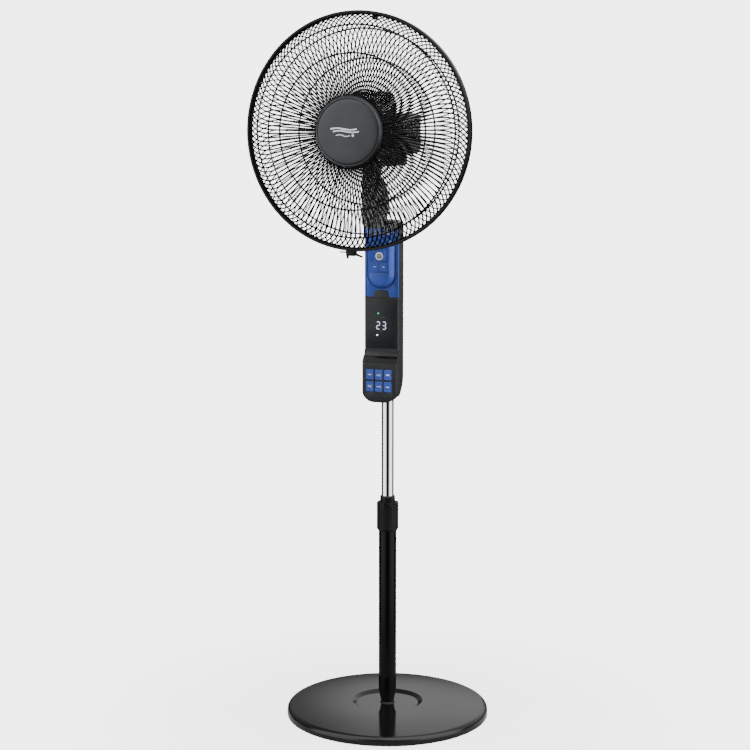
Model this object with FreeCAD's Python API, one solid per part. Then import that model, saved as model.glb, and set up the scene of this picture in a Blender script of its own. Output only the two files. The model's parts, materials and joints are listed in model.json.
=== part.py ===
import FreeCAD, Part
import math
import os

# Pedestal fan. Millimetres, +Z up, origin on the floor at the centre of the
# round base. The air blows towards -Y, so the grille and the controls face -Y.

V = FreeCAD.Vector
UP = V(0, 0, 1)
BACK = V(0, 1, 0)
SIDE = V(1, 0, 0)

# --- fits ---------------------------------------------------------------
run_fit = 0.05            # radial clearance of a shaft or a tube that turns or slides
loose_fit = 0.4           # clearance between plastic pieces that pass each other
wall = 2.2                # moulded housing wall

# --- base ---------------------------------------------------------------
base_r = 200.0
base_rim_h = 19.0
base_rim_round = 9.0
base_crown_h = 26.0       # top of the dome, at the edge of the recess
base_recess_r = 64.0
base_recess_z = 21.0
base_sheet = 1.5
base_floor_gap = 1.5
foot_count = 5
foot_r = 10.0
foot_h = 3.0
foot_inset = 26.0         # from the edge of the base to the middle of a foot
weight_inset = 14.0
weight_h = 6.0
bolt_r = 5.0
bolt_head_r = 9.0
bolt_head_h = 6.0

# --- pole ---------------------------------------------------------------
outer_pole_r = 17.5
outer_pole_wall = 1.5
inner_pole_r = 12.0
inner_pole_wall = 1.2
pole_foot_neck_r = 12.5
pole_foot_top = 48.0
pole_foot_spigot = 22.0
outer_pole_top = 392.0
collar_skirt = 18.0       # how far the collar reaches down over the outer tube
collar_h = 57.0
collar_wall = 3.8
collar_rib_count = 28
collar_notch_count = 8
collet_wall = 2.8
collet_h = 19.0
seat_depth = 45.0
pole_overlap = 127.0      # inner tube inside the outer one, in the pose modelled
pole_shown = 244.0        # from the outer tube's top to the keypad block
plug_h = 10.0

# --- control column -----------------------------------------------------
column_h = 333.0          # from the underside of the keypad block to the cap
column_body_lift = 4.0
column_half_w = 35.0
column_front = -36.0
column_side_end = -10.0   # the flat sides end here and the round back begins
column_back = 20.0
column_corner = 3.0
column_split = -22.0      # parting plane of the two shells
taper_foot_margin = 1.0   # between the pole socket and the foot of the rear shell
keypad_front = -50.6
keypad_h = 76.0
keypad_slope_h = 24.0
keypad_back = -30.0
keypad_corner = 24.0
panel_t = 2.0
panel_h = 130.0
notch_h = 13.0
notch_top_w = 25.0
notch_foot_w = 34.0
lens_side = 3.5
lens_margin = 3.0
digit_h = 20.0
digit_w = 9.5
cap_h = 7.0
cap_bevel = 1.0
cap_boss_r = 16.0
cap_boss_h = 11.0
pole_socket_h = 86.0
socket_wall = 3.8
screw_r = 1.5
screw_head_r = 3.0
screw_boss_r = 3.6
screw_inset = 7.0
gland_lift = 54.0
gland_r = 6.5
gland_hole_r = 3.6

# --- keys ---------------------------------------------------------------
key_names = ("power", "speed", "timer", "mode", "swing", "sleep")
key_w = 15.5
key_h = 20.0
key_pitch_x = 18.4
key_pitch_z = 23.2
key_centre_lift = 42.6
key_proud = 1.0
key_travel = 1.0
key_flange = 0.8
key_flange_t = 1.2
switch_gap = 0.15
board_t = 1.6

# --- remote control -----------------------------------------------------
remote_side = 8.0         # from the side of the column to the side of the remote
remote_bevel = 7.6
remote_h = 96.0
remote_top_gap = 17.0
remote_proud = 13.0
remote_sunk = 8.0
remote_well_margin = 4.0
remote_wall = 1.6
power_drop = 34.0
power_r = 7.6
pair_drop = 54.5
pair_x = 9.0
pair_w = 14.5
pair_h = 15.0
button_travel = 0.8
battery_r = 5.2
battery_l = 44.5

# --- swivel and neck ----------------------------------------------------
washer_t = 0.5
post_r = 10.0
post_bore_r = 7.0
turntable_r = 29.0
turntable_h = 7.5
arm_left = -41.0
arm_right = -5.0
arm_bulge = 4.5
arm_bulge_lift = 49.5
arm_eye_side = -9.5
arm_front = -36.0
arm_back = -5.0
gear_module = 1.0
gear_teeth = 30
pinion_teeth = 12
gear_t = 6.0
gear_backlash = 0.12
pinion_bearing = -30.0    # direction of the pinion from the swivel axis, degrees
osc_motor_r = 12.0
osc_motor_h = 22.0
pinion_shaft_r = 1.5

# --- head ---------------------------------------------------------------
head_lift = 184.0         # blade axis above the top of the column
pin_drop = 54.5           # tilt pin below the blade axis
pin_y = -20.0
pin_r = 4.0
eye_r = 10.0
knob_r = 11.0
knob_l = 14.0
motor_half_w = 42.0
motor_front = -93.0
motor_split = -71.0
motor_back = 81.0
motor_up = 35.0           # rear cover above and below the blade axis
motor_down = 44.0
motor_front_up = 74.0
motor_front_down = 64.0
motor_wall = 2.5
motor_round = 13.0
front_slot_count = 6
front_slot_pitch = 10.0
front_hole_count = 7
front_hole_pitch = 8.5
bracket_left = -9.2
bracket_right = 25.0
bracket_back = 43.0
bracket_bottom_drop = 65.0
stator_air = 0.5
stator_bore_share = 0.625
stator_front = -48.0
stator_back = -8.0
rotor_gap = 0.5
shaft_r = 4.0
shaft_front = -186.0
shaft_back = 4.0
bearing_r = 9.0
bearing_w = 8.0
boss_r = 22.0
boss_front = -106.0

# --- guards -------------------------------------------------------------
guard_r = 217.5
band_wall = 1.9
band_lip = 2.6
band_front = -173.0
band_back = -157.5
rim_w = 4.4
rim_front_y = -171.0
rim_rear_y = -159.5
rim_depth = 5.0
wire_count = 46
wire_w = 2.4
wire_t = 2.2
ring_w = 3.0
ring_shares = (0.6546, 0.8914)
swirl = 9.0               # degrees a wire turns from hub to rim
guard_hub_r = 60.0
guard_plate_r = 52.0
guard_plate_t = 2.0
guard_nut_r = 33.0
guard_nut_h = 8.0
badge_r = 65.0
badge_face_r = 58.5
badge_front = -216.0
badge_back = -206.0
clip_turn = 9.5           # degrees from the top of the rim to its inner tab
latch_x = -12.0
latch_half = 9.0
latch_pin_r = 1.5

# --- blade --------------------------------------------------------------
blade_count = 5
blade_gap = 25.4          # between the blade tips and the guards' rims
blade_hub_r = 36.0
blade_hub_wall = 3.0
blade_hub_front = -172.0
blade_hub_back = -130.0
blade_mid_y = -160.0
blade_t = 2.2
spinner_r = 16.0
spinner_front = -194.0

# --- worked out from the sizes above --------------------------------------
foot_pitch_r = base_r - foot_inset
weight_r = base_r - weight_inset
collar_z = outer_pole_top - collar_skirt
collar_r = outer_pole_r + collar_wall
seat_top = collar_z + collar_h - 6.0
collet_r = inner_pole_r + collet_wall
collet_top = seat_top + collet_h
inner_pole_bottom = outer_pole_top - pole_overlap

column_bottom = outer_pole_top + pole_shown
column_body_bottom = column_bottom + column_body_lift
column_top = column_bottom + column_h
keypad_top = column_bottom + keypad_h
keypad_slope_top = keypad_top + keypad_slope_h
panel_bottom = column_top - panel_h
lens_bottom = keypad_slope_top + lens_margin
lens_top = panel_bottom - lens_margin
lens_half_w = column_half_w - lens_side
pole_socket_top = column_bottom + pole_socket_h
taper_foot_half_w = inner_pole_r + socket_wall + taper_foot_margin + wall
inner_pole_top = pole_socket_top + 3.0
screw_x = column_half_w - screw_inset
screw_heights = (keypad_slope_top + 12.0, panel_bottom + 7.0, column_top - 7.0)
gland_z = column_bottom + gland_lift
key_centre_z = column_bottom + key_centre_lift
key_face_back = keypad_front + wall
cap_top = column_top + cap_h

remote_top = column_top - remote_top_gap
remote_bottom = remote_top - remote_h
remote_half_w = column_half_w - remote_side
remote_face_half_w = remote_half_w - remote_bevel
remote_face = column_front - remote_proud
remote_back = column_front + remote_sunk
power_z = remote_top - power_drop
pair_z = remote_top - pair_drop

neck_foot = cap_top + washer_t
arm_bulge_z = neck_foot + arm_bulge_lift
head_z = column_top + head_lift
hub_point = V(0, 0, head_z)
pin_z = head_z - pin_drop
gear_r = gear_module * gear_teeth / 2.0
pinion_r = gear_module * pinion_teeth / 2.0
pinion_x = (gear_r + pinion_r) * math.cos(math.radians(pinion_bearing))
pinion_y = (gear_r + pinion_r) * math.sin(math.radians(pinion_bearing))
gear_top = column_top - cap_boss_h - 2.0

stator_r = min(motor_half_w, motor_up) - motor_wall - stator_air
stator_bore_r = stator_r * stator_bore_share
rim_r = guard_r - band_wall - 0.2
ring_radii = [rim_r * share for share in ring_shares]
blade_r = rim_r - blade_gap
latch_top = head_z - guard_r
latch_pin_z = latch_top - 5.0


# --- small shape helpers ----------------------------------------------------
def rod(radius, start, end):
    run = end - start
    return Part.makeCylinder(radius, run.Length, start, run)


def pipe(outer_radius, inner_radius, start, end):
    return rod(outer_radius, start, end).cut(rod(inner_radius, start, end))


def block(x0, x1, y0, y1, z0, z1):
    return Part.makeBox(x1 - x0, y1 - y0, z1 - z0, V(x0, y0, z0))


def join(shapes):
    whole = shapes[0]
    for shape in shapes[1:]:
        whole = whole.fuse(shape)
    return whole.removeSplitter()


def face_through(steps):
    """A face whose outline runs through the steps; a pair is an arc by way of its first point."""
    start = steps[0]
    here = start
    edges = []
    for step in steps[1:] + [start]:
        if isinstance(step, tuple):
            edges.append(Part.Arc(here, step[0], step[1]).toShape())
            here = step[1]
        elif (step - here).Length > 1e-6:
            edges.append(Part.LineSegment(here, step).toShape())
            here = step
    return Part.Face(Part.Wire(edges))


def turned(profile):
    """Revolve an outline of (radius, height) about the pole axis."""
    steps = []
    for item in profile:
        if isinstance(item[0], tuple):
            steps.append((V(item[0][0], 0, item[0][1]), V(item[1][0], 0, item[1][1])))
        else:
            steps.append(V(item[0], 0, item[1]))
    return face_through(steps).revolve(V(0, 0, 0), UP, 360)


def turned_head(profile):
    """Revolve an outline of (radius, y) about the blade axis."""
    steps = []
    for item in profile:
        if isinstance(item[0], tuple):
            middle = V(item[0][0], item[0][1], head_z)
            steps.append((middle, V(item[1][0], item[1][1], head_z)))
        else:
            steps.append(V(item[0], item[1], head_z))
    return face_through(steps).revolve(hub_point, BACK, 360)


def head_ring(outer_radius, inner_radius, y0, y1):
    return pipe(outer_radius, inner_radius, V(0, y0, head_z), V(0, y1, head_z))


def head_disc(radius, y0, y1):
    return rod(radius, V(0, y0, head_z), V(0, y1, head_z))


def spread(shape, count, first_angle=0.0, centre=V(0, 0, 0), axis=UP):
    copies = []
    for index in range(count):
        copy = shape.copy()
        copy.rotate(centre, axis, first_angle + 360.0 * index / count)
        copies.append(copy)
    return copies


def plate_xz(steps, y0, y1):
    """Extrude an outline of (x, z) from y0 to y1."""
    points = []
    for item in steps:
        if isinstance(item[0], tuple):
            points.append((V(item[0][0], y0, item[0][1]), V(item[1][0], y0, item[1][1])))
        else:
            points.append(V(item[0], y0, item[1]))
    return face_through(points).extrude(V(0, y1 - y0, 0))


def plate_yz(steps, x0, x1):
    """Extrude an outline of (y, z) from x0 to x1."""
    points = []
    for item in steps:
        if isinstance(item[0], tuple):
            points.append((V(x0, item[0][0], item[0][1]), V(x0, item[1][0], item[1][1])))
        else:
            points.append(V(x0, item[0], item[1]))
    return face_through(points).extrude(V(x1 - x0, 0, 0))


def round_edges(solid, radius, wanted):
    edges = [edge for edge in solid.Edges if wanted(edge)]
    return solid.makeFillet(radius, edges)


def runs_along(edge, axis):
    if len(edge.Vertexes) != 2:
        return False
    run = edge.Vertexes[1].Point - edge.Vertexes[0].Point
    return run.Length > 0 and abs(run.dot(axis)) > run.Length * 0.999


# --- base -------------------------------------------------------------------
def base_dome(inset):
    """The dome's outside, or its inside when inset is the sheet's thickness."""
    rim_r = base_r - inset
    rim_top = base_rim_h - inset
    crown = base_crown_h - inset
    recess = base_recess_z - inset
    bend = base_rim_round * (1 - math.sqrt(0.5))
    step = base_recess_r + inset
    mid_r = (step + 6 + rim_r - base_rim_round) / 2
    return turned([
        (0, base_floor_gap),
        (rim_r, base_floor_gap),
        (rim_r, rim_top - base_rim_round),
        ((rim_r - bend, rim_top - bend), (rim_r - base_rim_round, rim_top)),
        ((mid_r, (rim_top + crown) / 2 + 1.5), (step + 6, crown)),
        ((step + 2.5, crown - 1.5), (step - 3, recess)),
        (0, recess)])


def make_base_cover():
    dome = base_dome(0).cut(base_dome(base_sheet))
    hole = rod(bolt_r + run_fit, V(0, 0, 0), V(0, 0, base_recess_z + 1))
    return dome.cut(hole)


def make_base_weight():
    slab = rod(weight_r, V(0, 0, foot_h), V(0, 0, foot_h + weight_h))
    boss_top = base_recess_z - base_sheet
    boss = rod(base_recess_r - 6, V(0, 0, foot_h), V(0, 0, boss_top))
    hole = rod(bolt_r + run_fit, V(0, 0, 0), V(0, 0, boss_top + 1))
    pocket = rod(bolt_head_r + 2, V(0, 0, foot_h), V(0, 0, foot_h + bolt_head_h))
    return join([slab, boss]).cut(hole).cut(pocket)


def make_base_feet():
    foot = rod(foot_r, V(foot_pitch_r, 0, 0), V(foot_pitch_r, 0, foot_h))
    bolt_pad = rod(bolt_head_r + 4, V(0, 0, 0), V(0, 0, foot_h))
    return Part.makeCompound(spread(foot, foot_count, 90.0) + [bolt_pad])


def make_base_bolt():
    shank_top = pole_foot_top + pole_foot_spigot - 8
    head_bottom = foot_h
    head_top = foot_h + bolt_head_h
    corners = []
    for index in range(6):
        angle = math.radians(60 * index)
        corners.append(V(bolt_head_r * math.cos(angle), bolt_head_r * math.sin(angle), head_bottom))
    head = face_through(corners).extrude(V(0, 0, head_top - head_bottom))
    return join([head, rod(bolt_r, V(0, 0, head_bottom), V(0, 0, shank_top))])


# --- pole -------------------------------------------------------------------
def make_pole_foot():
    spigot_r = outer_pole_r - outer_pole_wall
    top = pole_foot_top + pole_foot_spigot
    body = turned([
        (0, base_recess_z),
        (pole_foot_neck_r + 2.5, base_recess_z),
        (pole_foot_neck_r, base_recess_z + 3),
        (outer_pole_r, pole_foot_top),
        (spigot_r, pole_foot_top),
        (spigot_r, top),
        (0, top)])
    return body.cut(rod(bolt_r, V(0, 0, 0), V(0, 0, top - 8)))


def make_outer_pole():
    return pipe(outer_pole_r, outer_pole_r - outer_pole_wall,
                V(0, 0, pole_foot_top), V(0, 0, outer_pole_top))


def make_collar_seat():
    bore = inner_pole_r + 0.3
    spigot_r = outer_pole_r - outer_pole_wall
    return turned([
        (bore, outer_pole_top - seat_depth),
        (spigot_r, outer_pole_top - seat_depth),
        (spigot_r, outer_pole_top),
        (outer_pole_r, outer_pole_top),
        (outer_pole_r, seat_top),
        (bore, seat_top)])


def make_collet():
    top = collet_top
    flange_r = outer_pole_r - 1
    sleeve = turned([
        (inner_pole_r + run_fit, seat_top),
        (flange_r, seat_top),
        (flange_r, seat_top + 2.5),
        (collet_r, seat_top + 4.5),
        (collet_r, top - 3),
        (collet_r - 1.5, top),
        (inner_pole_r + run_fit, top)])
    slot = block(-0.8, 0.8, 0, outer_pole_r, seat_top + 5, top + 1)
    for cutter in spread(slot, 4, 45.0):
        sleeve = sleeve.cut(cutter)
    return sleeve


def make_height_collar():
    top = collar_z + collar_h
    bore = outer_pole_r + run_fit
    lip_r = collet_r + loose_fit
    body = turned([
        (bore, collar_z),
        (outer_pole_r + 1.2, collar_z),
        (collar_r, collar_z + 4.5),
        (collar_r, top - 1),
        (collar_r - 1, top),
        (lip_r, top),
        (lip_r, seat_top + 4.7),
        (bore, seat_top + 3)])
    groove = rod(0.9, V(collar_r + 0.3, 0, collar_z + 7), V(collar_r + 0.3, 0, top - 7))
    notch = block(collar_r - 2.6, collar_r + 1, -2.2, 2.2, top - 3.5, top + 1)
    cutters = spread(groove, collar_rib_count) + spread(notch, collar_notch_count, 10.0)
    return body.cut(Part.makeCompound(cutters))


def make_inner_pole():
    return pipe(inner_pole_r, inner_pole_r - inner_pole_wall,
                V(0, 0, inner_pole_bottom), V(0, 0, inner_pole_top))


def make_pole_plug():
    guide_r = outer_pole_r - outer_pole_wall - 0.3
    spigot_r = inner_pole_r - inner_pole_wall
    return turned([
        (4, inner_pole_bottom - plug_h),
        (guide_r - 1, inner_pole_bottom - plug_h),
        (guide_r, inner_pole_bottom - plug_h + 1),
        (guide_r, inner_pole_bottom),
        (spigot_r, inner_pole_bottom),
        (spigot_r, inner_pole_bottom + 15),
        (4, inner_pole_bottom + 15)])


# --- control column -------------------------------------------------------------
def column_plan_face(inset, z0, front):
    """The column's plan, flat in front and round behind."""
    half_w = column_half_w - inset
    near = front + inset
    corner = max(column_corner - inset, 0.8)
    bend = corner * (1 - math.sqrt(0.5))
    back = column_back - inset
    steps = [
        V(-half_w + corner, near, z0),
        V(half_w - corner, near, z0),
        (V(half_w - bend, near + bend, z0), V(half_w, near + corner, z0)),
        V(half_w, column_side_end, z0),
        (V(0, back, z0), V(-half_w, column_side_end, z0)),
        V(-half_w, near + corner, z0),
        (V(-half_w + bend, near + bend, z0), V(-half_w + corner, near, z0))]
    return face_through(steps)


def column_plan(inset, z0, z1, front):
    return column_plan_face(inset, z0, front).extrude(V(0, 0, z1 - z0))


def column_body(inset):
    """The column behind and above the keypad block."""
    half_w = column_half_w - inset
    foot_w = taper_foot_half_w - inset
    bottom = column_body_bottom + inset
    top = column_top
    bow = (half_w * 0.86, (keypad_top + bottom) / 2 - 6)
    outline = plate_xz([
        (-half_w, top),
        (-half_w, keypad_top),
        ((-bow[0], bow[1]), (-foot_w, bottom)),
        (foot_w, bottom),
        (bow, (half_w, keypad_top)),
        (half_w, top)], column_front - 1, column_back + 1)
    return column_plan(inset, bottom, top, column_front).common(outline)


def keypad_block(inset):
    """The block that stands forward at the foot of the column and carries the keys."""
    near = keypad_front + inset
    far = keypad_back - inset
    bottom = column_bottom + inset
    face = column_front + inset
    top = keypad_slope_top
    side = plate_yz([
        (far, bottom),
        (near, bottom),
        (near, keypad_top - inset * 0.4),
        (near + 9, keypad_top + 9 - inset * 0.8),
        ((face - 1.6, keypad_top + 15), (face, top)),
        (far, top)], -column_half_w - 1, column_half_w + 1)
    half_w = column_half_w - inset
    round_r = keypad_corner - inset
    bend = round_r * (1 - math.sqrt(0.5))
    front = plate_xz([
        (-half_w, top),
        (-half_w, bottom + round_r),
        ((-half_w + bend, bottom + bend), (-half_w + round_r, bottom)),
        (half_w - round_r, bottom),
        ((half_w - bend, bottom + bend), (half_w, bottom + round_r)),
        (half_w, top)], keypad_front - 1, keypad_back + 1)
    plan = column_plan(inset, bottom, top, keypad_front)
    return side.common(front).common(plan)


def column_volume(inset):
    return join([column_body(inset), keypad_block(inset)])


column_outside = column_volume(0)
column_shell = column_outside.cut(column_volume(wall))


def key_places():
    places = []
    for row in (0.5, -0.5):
        for column in (-1, 0, 1):
            places.append((column * key_pitch_x, key_centre_z + row * key_pitch_z))
    return places


def screw_places():
    return [(x, z) for z in screw_heights for x in (-screw_x, screw_x)]


def remote_well(margin, y0, y1):
    half_w = remote_half_w - remote_well_margin + margin
    return block(-half_w, half_w, y0, y1, remote_bottom + 10 - margin,
                 remote_top - remote_well_margin + margin)


def blue_panel_volume():
    slab = block(-column_half_w - 1, column_half_w + 1, column_front - 1, column_front + panel_t,
                 panel_bottom, column_top)
    notch = plate_xz([
        (-notch_foot_w / 2, panel_bottom - 1),
        (notch_foot_w / 2, panel_bottom - 1),
        (notch_top_w / 2, panel_bottom + notch_h),
        (-notch_top_w / 2, panel_bottom + notch_h)], column_front - 1, column_front + panel_t)
    return column_outside.common(slab).cut(notch)


def lens_volume():
    return block(-lens_half_w, lens_half_w, column_front, column_front + panel_t, lens_bottom, lens_top)


def make_column_front():
    near = block(-60, 60, keypad_front - 1, column_split, column_bottom - 1, column_top)
    shell = column_shell.common(near)
    bosses = []
    for x, z in screw_places():
        bosses.append(rod(screw_boss_r, V(x, column_front + panel_t, z), V(x, column_split, z)))
    tray = remote_well(loose_fit + wall, column_front + panel_t, remote_back + loose_fit + wall)
    shell = join([shell, tray] + bosses)
    shell = shell.cut(remote_well(loose_fit, column_front - 1, remote_back + loose_fit))
    shell = shell.cut(blue_panel_volume()).cut(lens_volume())
    window_half_w = lens_half_w - 7.5
    window = block(-window_half_w, window_half_w, column_front, column_front + wall + 1,
                   lens_bottom + 9, lens_top - 9)
    shell = shell.cut(window)
    for x, z in screw_places():
        shell = shell.cut(rod(screw_r, V(x, column_front + panel_t + 2, z), V(x, column_split, z)))
    for x, z in key_places():
        half_w = key_w / 2 + loose_fit / 2
        half_h = key_h / 2 + loose_fit / 2
        shell = shell.cut(block(x - half_w, x + half_w, keypad_front - 1, key_face_back + 1,
                                z - half_h, z + half_h))
    return shell


def make_column_rear():
    far = block(-60, 60, column_split, column_back + 1, column_bottom - 1, column_top)
    shell = column_shell.common(far)
    bosses = []
    for x, z in screw_places():
        bosses.append(rod(screw_boss_r, V(x, column_split, z), V(x, column_back, z)))
    bosses = join(bosses).common(column_outside)
    shell = join([shell, bosses])
    for x, z in screw_places():
        shell = shell.cut(rod(screw_head_r + 0.4, V(x, 0, z), V(x, column_back, z)))
        shell = shell.cut(rod(screw_r + 0.1, V(x, column_split, z), V(x, 1, z)))
    floor_top = column_body_bottom + wall + 1
    shell = shell.cut(rod(inner_pole_r + 0.1, V(0, 0, column_bottom), V(0, 0, floor_top)))
    shell = shell.cut(rod(gland_hole_r + 1, V(0, 0, gland_z), V(0, column_back + 1, gland_z)))
    slot = block(-13, 13, column_back - 8, column_back + 1, -1.1, 1.1)
    for index in range(9):
        cutter = slot.copy()
        cutter.translate(V(0, 0, lens_bottom + 31 + 7 * index))
        shell = shell.cut(cutter)
    return shell


def make_column_cap():
    plate = column_plan(0, column_top, cap_top - cap_bevel, column_front)
    foot = column_plan_face(0, cap_top - cap_bevel, column_front).OuterWire
    brow = column_plan_face(cap_bevel, cap_top, column_front).OuterWire
    bevel = Part.makeLoft([foot, brow], True, True)
    boss = rod(cap_boss_r, V(0, 0, column_top - cap_boss_h), V(0, 0, column_top))
    hole = rod(post_r + run_fit, V(0, 0, column_top - cap_boss_h - 1), V(0, 0, cap_top + 1))
    thrust_ring = rod(turntable_r - 4, V(0, 0, cap_top), V(0, 0, neck_foot - 0.1))
    return join([plate, bevel, boss, thrust_ring]).cut(hole)


def make_blue_panel():
    panel = blue_panel_volume().cut(remote_well(loose_fit, column_front - 1, column_front + panel_t + 1))
    for side in (-1, 1):
        x = side * (column_half_w - 4.2)
        groove = block(x - 0.4, x + 0.4, column_front - 1, column_front + 0.5,
                       panel_bottom - 1, column_top + 1)
        panel = panel.cut(groove)
    return panel


def make_display_lens():
    return lens_volume()


def display_board():
    y = column_front + 6.0
    half_w = lens_half_w - 9.5
    middle = (lens_bottom + lens_top) / 2
    board = block(-half_w, half_w, y, y + board_t, lens_bottom + 13, lens_top - 13)
    digits = []
    for x in (-2 - digit_w, 3.5):
        digits.append(block(x, x + digit_w, y - 3, y, middle - digit_h / 2, middle + digit_h / 2))
    return join([board] + digits)


def key_board():
    face = key_face_back + key_flange_t + key_travel + switch_gap + 0.2
    half_w = column_half_w - wall - 3.8
    board = block(-half_w, half_w, face + 1.4, face + 1.4 + board_t, key_centre_z - 24, key_centre_z + 24)
    switches = []
    for x, z in key_places():
        switches.append(block(x - 3, x + 3, face, face + 1.4, z - 3, z + 3))
    return join([board] + switches)


def make_control_boards():
    return Part.makeCompound([display_board(), key_board()])


def make_key(x, z):
    cap = block(x - key_w / 2, x + key_w / 2, keypad_front - key_proud, key_face_back + 0.2 + key_flange_t,
                z - key_h / 2, z + key_h / 2)
    cap = round_edges(cap, 1.6, lambda edge: runs_along(edge, BACK))
    front = keypad_front - key_proud
    cap = round_edges(cap, 0.6, lambda edge: edge.BoundBox.YMax < front + 0.01)
    half_w = key_w / 2 + key_flange
    half_h = key_h / 2 + key_flange
    flange = block(x - half_w, x + half_w, key_face_back + 0.2, key_face_back + 0.2 + key_flange_t,
                   z - half_h, z + half_h)
    return join([cap, flange])


def make_main_board():
    bottom = pole_socket_top + 23
    board = block(-20, 20, 5, 5 + board_t, bottom, column_top - 44)
    transformer = block(-15, 15, -14, 5, bottom + 15, bottom + 50)
    relay = block(-16, 0, -9, 5, bottom + 70, bottom + 90)
    capacitor = rod(7, V(10, 5, bottom + 105), V(10, -12, bottom + 105))
    return join([board, transformer, relay, capacitor])


def make_pole_socket():
    bottom = column_body_bottom + wall
    return pipe(inner_pole_r + socket_wall, inner_pole_r, V(0, 0, bottom), V(0, 0, pole_socket_top))


def make_column_screws():
    screws = []
    for x, z in screw_places():
        head = rod(screw_head_r, V(x, 0, z), V(x, 2, z))
        shank = rod(screw_r, V(x, column_front + panel_t + 3, z), V(x, 0, z))
        screws.append(join([head, shank]))
    return Part.makeCompound(screws)


def make_lead_gland():
    y_in = column_back - wall
    tube = pipe(gland_hole_r + 1, gland_hole_r, V(0, y_in - 1, gland_z), V(0, column_back + 3, gland_z))
    flange = pipe(gland_r, gland_hole_r, V(0, column_back, gland_z), V(0, column_back + 3, gland_z))
    return join([tube, flange])


# --- remote control ---------------------------------------------------------------
def remote_front_volume(inset):
    """The bevelled front of the remote, lofted from its foot to its smaller face."""
    sections = []
    for half_w, shrink, y in ((remote_half_w - inset, 0, column_front),
                              (remote_half_w - inset - 1.2, 1.2, column_front - 4),
                              (remote_face_half_w - inset, 5.5, remote_face + inset)):
        corner = 8
        bend = corner * (1 - math.sqrt(0.5))
        bottom = remote_bottom + shrink + inset
        top = remote_top - shrink - inset
        middle = bottom + half_w
        sections.append(face_through([
            V(-half_w, y, middle),
            (V(0, y, bottom), V(half_w, y, middle)),
            V(half_w, y, top - corner),
            (V(half_w - bend, y, top - bend), V(half_w - corner, y, top)),
            V(-half_w + corner, y, top),
            (V(-half_w + bend, y, top - bend), V(-half_w, y, top - corner))]).OuterWire)
    return Part.makeLoft(sections, True, True)


def make_remote_front():
    shell = remote_front_volume(0).cut(remote_front_volume(remote_wall))
    shell = shell.cut(rod(power_r + 0.2, V(0, remote_face - 1, power_z), V(0, remote_face + 5, power_z)))
    for x in (-pair_x, pair_x):
        half_w = pair_w / 2 + 0.2
        half_h = pair_h / 2 + 0.2
        shell = shell.cut(block(x - half_w, x + half_w, remote_face - 1, remote_face + 5,
                                pair_z - half_h, pair_z + half_h))
    for z in (pair_z + 10.5, pair_z - 10.5):
        groove = block(-40, 40, remote_face - 1, remote_face + 0.6, z - 0.5, z + 0.5)
        shell = shell.cut(groove)
    return shell


def make_remote_back():
    tray = remote_well(0, column_front, remote_back)
    rim = remote_well(-remote_wall, column_front - 1, remote_back - remote_wall)
    door = battery_door_volume(0.15)
    return tray.cut(rim).cut(door)


def battery_door_volume(margin):
    return block(-15 - margin, 15 + margin, remote_back - remote_wall, remote_back,
                 remote_bottom + 18 - margin, remote_bottom + 72 + margin)


def make_battery_door():
    return battery_door_volume(0)


def make_batteries():
    cells = []
    y = remote_back - remote_wall - battery_r - 0.1
    low = remote_bottom + 22
    for x in (-battery_r - 0.4, battery_r + 0.4):
        body = rod(battery_r, V(x, y, low), V(x, y, low + battery_l - 1))
        cells.append(join([body, rod(1.9, V(x, y, low), V(x, y, low + battery_l))]))
    return Part.makeCompound(cells)


def make_remote_board():
    face = remote_face + remote_wall + 0.2 + key_flange_t + button_travel + switch_gap
    board = block(-17, 17, face + 1, face + 1 + 1.2, pair_z - 13.5, power_z + 20)
    switches = []
    for x, z in ((0, power_z), (-pair_x, pair_z), (pair_x, pair_z)):
        switches.append(rod(2.5, V(x, face, z), V(x, face + 1, z)))
    return join([board] + switches)


def make_power_button():
    back = remote_face + remote_wall + 0.2
    cap = rod(power_r, V(0, remote_face - 0.7, power_z), V(0, back + key_flange_t, power_z))
    cap = cap.makeFillet(0.5, [edge for edge in cap.Edges if edge.BoundBox.YMax < remote_face])
    return join([cap, rod(power_r + 0.8, V(0, back, power_z), V(0, back + key_flange_t, power_z))])


def make_pair_button(x):
    back = remote_face + remote_wall + 0.2
    cap = block(x - pair_w / 2, x + pair_w / 2, remote_face - 0.5, back + key_flange_t,
                pair_z - pair_h / 2, pair_z + pair_h / 2)
    cap = round_edges(cap, 1.2, lambda edge: runs_along(edge, BACK))
    half_w = pair_w / 2 + 0.8
    half_h = pair_h / 2 + 0.8
    flange = block(x - half_w, x + half_w, back, back + key_flange_t, pair_z - half_h, pair_z + half_h)
    return join([cap, flange])


# --- swivel drive and neck ------------------------------------------------------------
def involute_gear(teeth, turn, centre, z0, z1, bore):
    """A spur gear with involute flanks, turned by the angle turn in degrees."""
    pitch_r = gear_module * teeth / 2.0
    pressure = math.radians(20)
    base_circle = pitch_r * math.cos(pressure)
    tip_r = pitch_r + gear_module
    root_r = pitch_r - 1.25 * gear_module
    half_tooth = math.pi / (2 * teeth) - gear_backlash / (2 * pitch_r)
    rolled = math.tan(pressure) - pressure
    flank = []
    start_r = max(base_circle, root_r)
    for index in range(5):
        radius = start_r + (tip_r - start_r) * index / 4.0
        angle = math.acos(min(1.0, base_circle / radius))
        flank.append((radius, half_tooth + rolled - (math.tan(angle) - angle)))
    points = []
    for tooth in range(teeth):
        middle = math.radians(turn) + 2 * math.pi * tooth / teeth
        side = [(root_r, flank[0][1])] + flank
        for radius, offset in side:
            points.append((radius, middle - offset))
        for radius, offset in reversed(side):
            points.append((radius, middle + offset))
    outline = [V(centre.x + r * math.cos(a), centre.y + r * math.sin(a), z0) for r, a in points]
    gear = face_through(outline).extrude(V(0, 0, z1 - z0))
    return gear.cut(rod(bore, V(centre.x, centre.y, z0 - 1), V(centre.x, centre.y, z1 + 1)))


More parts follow.
